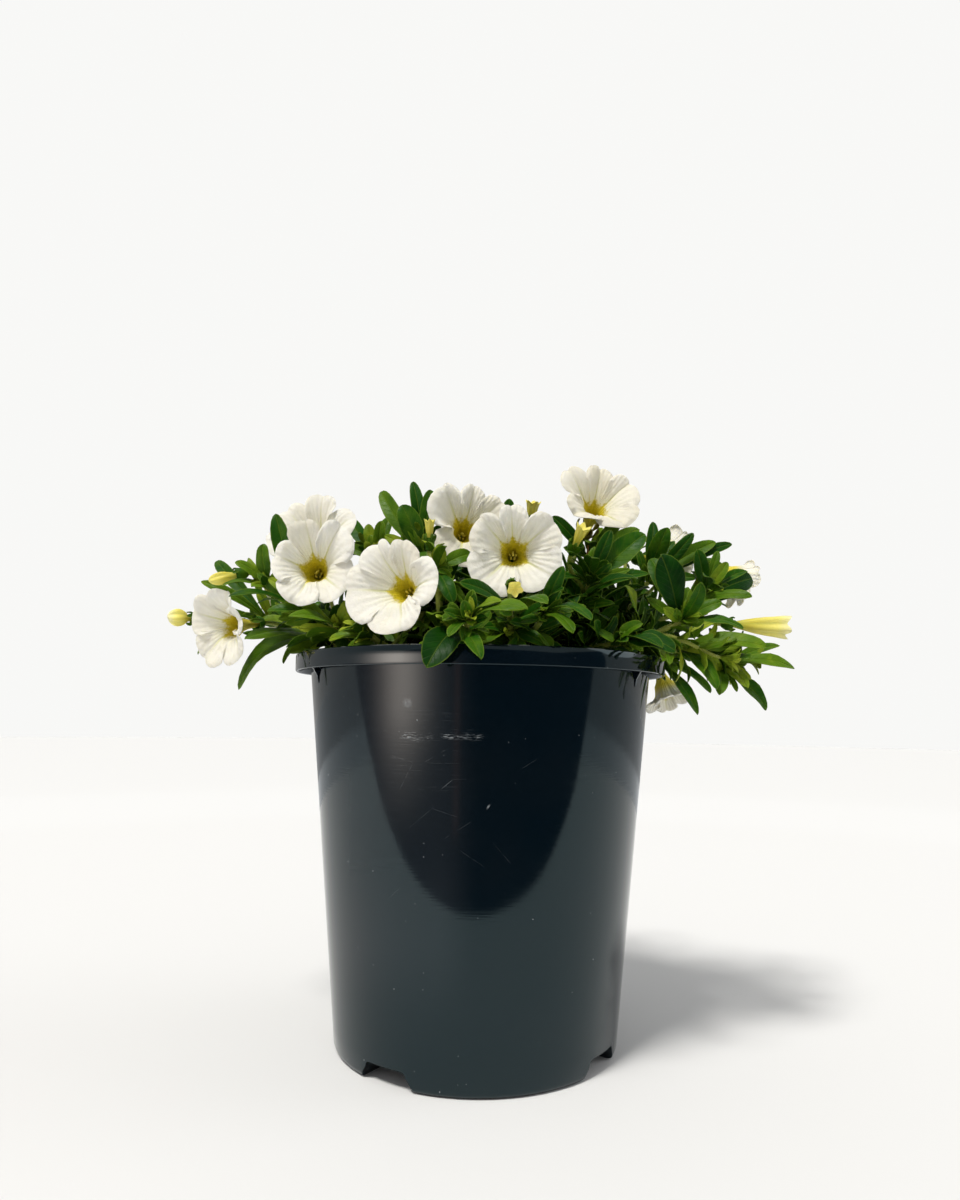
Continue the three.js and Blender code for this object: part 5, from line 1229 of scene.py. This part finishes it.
def grow_corolla(name):
    """A bloom's corolla: a tube that flares into five pleated petals, each lapping over the next. p runs
    across a petal from 1 to -1, q is the distance from its middle line and s the share of the way out."""
    petals = BLOOMS[name].petals
    base, across, up, facing = bloom_place(name)
    rng = np.random.default_rng(sum(map(ord, name)) + 3)
    p = np.linspace(1, -1, 15)[None, :]
    q = np.abs(p)
    s = np.concatenate([np.zeros(len(TUBE)), SPREAD])[:, None]
    form = Form()
    gaps = NOTCHES.get(name, OTHER_NOTCHES)
    for i, (angle, reach, lean) in enumerate(petals):
        before, after = petals[i - 1], petals[(i + 1) % 5]
        half = np.where(p > 0, (after[0] - angle) % 360 / 2, (angle - before[0]) % 360 / 2)
        notch = np.where(p > 0, gaps[i] * (reach + after[1]) / 2, gaps[i - 1] * (reach + before[1]) / 2)
        edge = notch + (reach - notch) * (1 - q**2.4) ** 0.56 - 0.035 * reach * bell(q, 0, 0.12)
        edge = edge + 0.18 * np.sin(p * rng.uniform(6, 11) + rng.uniform(0, 6))
        turn = np.radians(angle + p * half * (1 + 0.09 * s**2) + 1.2 * p)
        radius = MOUTH + (edge - MOUTH) * s
        height = 14.5 + 9.5 * (1 - (1 - s) ** 1.6) + lean * s
        radius[: len(TUBE)] = TUBE[:, :1]
        height = np.broadcast_to(height, radius.shape).copy()
        height[: len(TUBE)] = TUBE[:, 1:]
        # The pleat on each side, the groove along the middle, the lap over the next petal, and below it the
        # fuller underside of the throat.
        height += fold_of(name, i) * (1 - (2 * q - 1) ** 2) * s ** 0.8 * (1.2 - 0.4 * s)
        height -= 0.6 * bell(q, 0, 0.12) * smooth(s, 0, 0.25) * (1 - 0.4 * s)
        height += 0.45 * p * s**2
        low = max(0, -math.sin(math.radians(angle)))
        height += 2.8 * low * smooth(s, 0, 0.12) * (1 - smooth(s, 0.14, 0.6))
        # Waves that differ from petal to petal, and a rim that curls back.
        height += rng.uniform(0.3, 0.8) * np.sin(p * rng.uniform(2.2, 3.6) + rng.uniform(0, 6)) * s**3
        height += 0.35 * np.sin(p * rng.uniform(4, 6) + s * rng.uniform(5, 8) + rng.uniform(0, 6)) * s
        height -= rng.uniform(0.4, 1.3) * np.maximum(s - 0.72, 0) ** 2 / 0.078
        ring = across * np.cos(turn)[..., None] + up * np.sin(turn)[..., None]
        points = base + ring * radius[..., None] + facing * height[..., None]
        thin = np.where(s > 0, 0.42 - 0.14 * s, 0.5) * np.ones_like(p)
        tone = rng.uniform(0, 1) - (name == "right_top")  # the top-right bloom's tone is one lower: painted shade, a darker, creamier white where it faces the high light
        add_shell(form, points, thin, reach=radius, petal=p, share=s, tone=tone)
    keep(form.piece("corolla_" + name, PETAL_SKIN, 60), "petals", "bloom_" + name)


def grow_stamens(name):
    """The filaments in a bloom's throat and the anthers on them: five in a ring, and a longer one within."""
    base, across, up, facing = bloom_place(name)
    points, edges, knobs, ways = [], [], [], []
    for k in range(6):
        a = 2 * math.pi * k / 5 + 0.3
        inner = k == 5
        out = (across * math.cos(a) + up * math.sin(a)) * (0 if inner else 1)
        top = base + facing * (12.6 if inner else 9.6 + 0.7 * (k % 2)) + out * 1.2 + up * 0.2
        start = len(points)
        points += [base + facing * 5 + out * 0.8, base + facing * 8 + out * 1.0, top]
        edges += [(start, start + 1), (start + 1, start + 2)]
        knobs.append(top)
        ways.append(unit(facing + out * 0.4))
    stalks = line_mesh("filaments_" + name, points, edges, thick=[0.0002] * len(points),
                       tone=[1.0] * len(points))
    keep(grown("filaments_" + name, stalks, BARS, Sides=5, Finish=STEM_SKIN), "petals", "bloom_" + name)
    heads = line_mesh("anthers_" + name, knobs, [], way=ways)
    keep(grown("anthers_" + name, heads, ANTHERS, Size=0.0013, Finish=POLLEN), "petals", "bloom_" + name)


# The neck of a closed bud and of a parting one, as (radius, height), then their rings as (share of half the
# thickness, share of the length).
BUD_NECK = ((0.9, 0.3), (1.15, 2.2), (1.4, 4)), ((0.9, 0.3), (1.15, 2.0), (1.4, 4))
CLOSED_RINGS = ((0.72, 0.42), (0.9, 0.52), (1, 0.64), (0.97, 0.74), (0.84, 0.84), (0.62, 0.92), (0.36, 0.97),
                (0.15, 0.995))
PARTING_RINGS = ((0.46, 0.32), (0.6, 0.46), (0.7, 0.6), (0.76, 0.72), (0.84, 0.82), (0.94, 0.89), (1.0, 0.93),
                 (0.96, 0.935), (0.84, 0.9), (0.6, 0.85), (0.35, 0.8), (0.15, 0.77))
BUD_SIDES = 45


def grow_bud(name):
    """A bud: petals folded into a fluted, twisted spindle, closed at the tip or parting into five lobes."""
    bud = BUDS[name]
    length, closed = bud.length, bud.form == "closed"
    facing = heading(*bud.faces)
    wide = 1.2 if name == "right_end" else 1.0
    rings, apex = (CLOSED_RINGS, 1) if closed else (PARTING_RINGS, 0.76)
    body = [(bud.across / 2 * min(r * wide, 1.08), length * h) for r, h in rings]
    profile = np.array([(0, 0.2), *BUD_NECK[0 if closed else 1], *body, (0, length * apex)])

    def fluted(radius, height, turn):
        grown_share = np.clip(height / length, 0, 1)
        phase = 5 * turn + grown_share * (2.4 if closed else 1.0)
        deep = 0.13 * smooth(grown_share, 0.25, 0.6) * (1 - 0.4 * smooth(grown_share, 0.9, 1))
        teeth = 0.0 if closed else min(0.055 * length, 1.0) * smooth(grown_share, 0.84, 0.93)
        return radius * (1 + deep * (np.cos(phase) - 0.5)), height + teeth * (np.cos(phase) - 0.6)

    form = Form()
    place = vec(*bud.tip) - facing * length, *flower_axes(facing), facing
    add_turned(form, profile, BUD_SIDES, place, wave=fluted, grown=0.0, flute=0.0)
    tall = form.marks[0]["tall"]
    turn = np.tile(np.arange(BUD_SIDES) * 2 * math.pi / BUD_SIDES, len(profile) - 2)
    flute = np.concatenate([np.cos(5 * turn + tall[:-2] / length * 1.6 + math.pi), [0, 0]])
    ripe = 1 if name.endswith("_end") else 0.7
    form.marks[0].update(grown=np.clip(tall / length, 0, 1) * ripe, flute=flute)
    keep(form.piece("bud_petals_" + name, BUD_SKIN, 60), "buds", "bud_" + name)


# ---------------------------------------------------------------- everything

BARS, ANTHERS, HAIRS = bar_tree(), anther_tree(), scatter_tree("hair")
cut_pot()
fill_pot()
for name in BRANCHES:
    leaf_out(name)
stems = {name: grow_stems(name) for name in BRANCHES}
for name in BRANCHES:
    if any(flower.on[0] == name for flower in FLOWERS):
        grow_calyxes(name)
for name in BLOOMS:
    grow_corolla(name)
    grow_stamens(name)
for name in BUDS:
    grow_bud(name)
for name, stem in stems.items():
    down = grown("hairs_" + name, stem.data.copy(), HAIRS, Density=600000.0, Least=0.0005, Most=0.0011,
                 Seed=len(name), Finish=HAIR_SKIN)
    keep(down, "foliage", "branch_" + name)

# ---------------------------------------------------------------- floor, light and camera, in metres


def stage_piece(name, points, faces, colour=None, glow=None, strength=1.0):
    """A piece of the stage: matt in a colour, or glowing."""
    mesh = bpy.data.meshes.new(name)
    mesh.from_pydata(points, [], faces)
    mesh.polygons.foreach_set("use_smooth", [True] * len(mesh.polygons))
    material = bpy.data.materials.new(name)
    material.use_nodes = True
    tree = material.node_tree
    tree.nodes.clear()
    if glow:
        shader = put(tree, "ShaderNodeEmission", Color=(*glow, 1), Strength=strength)
    else:
        shader = put(tree, "ShaderNodeBsdfPrincipled", Base_Color=(*colour, 1), Roughness=0.9)
    put(tree, "ShaderNodeOutputMaterial", Surface=shader.outputs[0])
    mesh.materials.append(material)
    thing = shown(name, mesh)
    return thing


def only_reflected(thing):
    thing.visible_camera = thing.visible_diffuse = thing.visible_shadow = False
    thing.visible_transmission = thing.visible_volume_scatter = False


STAGE = {"radius": 5, "height": 6, "sides": 72}
ROUND = belt(STAGE["sides"])
turns = np.arange(STAGE["sides"]) * math.pi / (STAGE["sides"] / 2)
round_edge = [(STAGE["radius"] * math.cos(a), STAGE["radius"] * math.sin(a), 0) for a in turns]
stage_piece("floor", round_edge, [list(range(STAGE["sides"]))], (0.775, 0.785, 0.80))
wall = stage_piece("backdrop", round_edge + [(x, y, STAGE["height"]) for x, y, z in round_edge], ROUND,
                   glow=(0.94, 0.94, 0.925))
wall.visible_diffuse = wall.visible_glossy = wall.visible_shadow = False

# The table ends a hand's breadth before the pot. Past its edge the gloss of the pot sees a dark room, with
# warm light low on the left, and elsewhere a grey floor far from the pot.
# These are painted reflections: glowing sheets that only reflections show.
dark = [(-6, -0.2, 0.001), (0.2, -0.246, 0.001), (0.6, -0.28, 0.001), (6, -1.3, 0.001), (6, -6, 0.001),
        (-6, -6, 0.001), (-6, -6, 2.6), (6, -6, 2.6), (6, -1.3, 2.6)]
only_reflected(stage_piece("painted_dark_reflection", dark, [[0, 5, 4, 3, 2, 1], [5, 6, 7, 4], [4, 7, 8, 3]],
                           glow=(0.10, 0.24, 0.36), strength=0.3))
for near, far, grey in ((0.85, 1.3, 0.72), (1.3, 4.9, 0.42)):
    ring = [(r * math.cos(a), r * math.sin(a), 0.0008) for r in (near, far) for a in turns]
    only_reflected(stage_piece("painted_grey_reflection_%d" % (far * 10), ring, ROUND,
                               glow=(grey, grey * 1.03, grey * 1.05)))


def glow_sheet(name, bearings, rows, fade, colour, strength):
    """A clear sheet that only adds light to reflections. It has a row of points for each (distance, height,
    share) and a point for each bearing, and is as strong there as the share times the fade of the bearing."""
    points = [(r * math.sin(a), -r * math.cos(a), z) for r, z, share in rows for a in np.radians(bearings)]
    grid = np.arange(len(points)).reshape(len(rows), len(bearings))
    faces = np.stack([grid[:-1, :-1], grid[:-1, 1:], grid[1:, 1:], grid[1:, :-1]], -1).reshape(-1, 4).tolist()
    thing = stage_piece(name, points, faces, glow=colour)
    set_marks(thing.data, glow=[share * fade(bearing) for r, z, share in rows for bearing in bearings])
    tree = thing.data.materials[0].node_tree
    nodes = {node.type: node for node in tree.nodes}
    lit = put(tree, "ShaderNodeAttribute", {"attribute_name": "glow"})
    power = put(tree, "ShaderNodeMath", {"operation": "MULTIPLY"}, _0=lit.outputs["Fac"], _1=strength)
    tree.links.new(power.outputs[0], nodes["EMISSION"].inputs["Strength"])
    clear = put(tree, "ShaderNodeBsdfTransparent")
    both = put(tree, "ShaderNodeAddShader", _0=nodes["EMISSION"].outputs[0], _1=clear.outputs[0])
    tree.links.new(both.outputs[0], nodes["OUTPUT_MATERIAL"].inputs[0])
    only_reflected(thing)


# Painted reflections on the pot: a warm streak low on the left, a soft warm glow over the left front and a
# narrow red band just left of the front.
warm_rows = [(r, 0.003, smooth(r, 0.35, 1.45)) for r in np.linspace(0.34, 4, 28)]
warm_rows += [(4.02, z, 2.0 - smooth(z, 0.5, 1.2) * 1.7) for z in np.linspace(0.1, 1.3, 8)]
glow_sheet("warm_glow", np.linspace(-95, -5, 37), warm_rows, lambda bearing: bell(bearing, -49, 15),
           (1.0, 0.64, 0.53), 5.0)

soft_rows = [(r, 0.005, 1.4 * smooth(r, 0.08, 0.2) - 0.4 * smooth(r, 0.2, 0.4))
             for r in (*np.linspace(0.08, 0.5, 15), *np.linspace(0.7, 4.01, 16))]
soft_rows += [(4.01, z, 1 - smooth(z, 0.4, 1.2) * 0.8) for z in np.linspace(0.1, 1.3, 6)]
glow_sheet("soft_glow", np.linspace(-130, 4, 45), soft_rows,
           lambda bearing: smooth(bearing, -128, -60) - smooth(bearing, -26, 2), (1.0, 0.72, 0.70), 0.3)

red_rows = [(r, 0.004, 1.0) for r in np.linspace(0.4, 4, 8)]
glow_sheet("red_glow", np.linspace(-19, -9, 11), red_rows, lambda bearing: bell(bearing, -14, 2),
           (1.0, 0.35, 0.22), 0.28)

world = bpy.data.worlds.new("studio")
bpy.context.scene.world = world
world.use_nodes = True
world.node_tree.nodes["Background"].inputs[0].default_value = (1.0, 0.99, 0.965, 1)
world.node_tree.nodes["Background"].inputs[1].default_value = 0.46


def far_light(name, place, spread, power, colour):
    """Even light from the direction of place, softened by spread degrees."""
    data = bpy.data.lights.new(name, "SUN")
    data.angle, data.energy, data.color = math.radians(spread), power, colour
    light = bpy.data.objects.new(name, data)
    light.rotation_euler = (-Vector(place)).to_track_quat("-Z", "Y").to_euler()
    bpy.context.scene.collection.objects.link(light)


far_light("high_light", (-0.32, -0.42, 1.0), 12, 2.7, (1.0, 0.965, 0.90))
far_light("side_light", (1.1, 0.1, 0.6), 35, 0.35, (0.98, 0.99, 1.0))

FRAME = 1200  # the frame's long side in pixels, which the lens and its shifts are given in
eye = bpy.data.cameras.new("camera")
eye.sensor_width = 36
eye.lens = 36 * 824 / FRAME
eye.shift_x, eye.shift_y = 0.4 / FRAME, 117.7 / FRAME
eye.clip_start, eye.clip_end = 0.01, 20
camera = bpy.data.objects.new("camera", eye)
camera.location = (0, -0.377, 0.1459)
camera.rotation_euler = (math.radians(90), math.radians(-0.81), 0)
bpy.context.scene.collection.objects.link(camera)
bpy.context.scene.camera = camera
bpy.context.scene.view_settings.view_transform = "Standard"
bpy.context.scene.view_settings.look = "None"
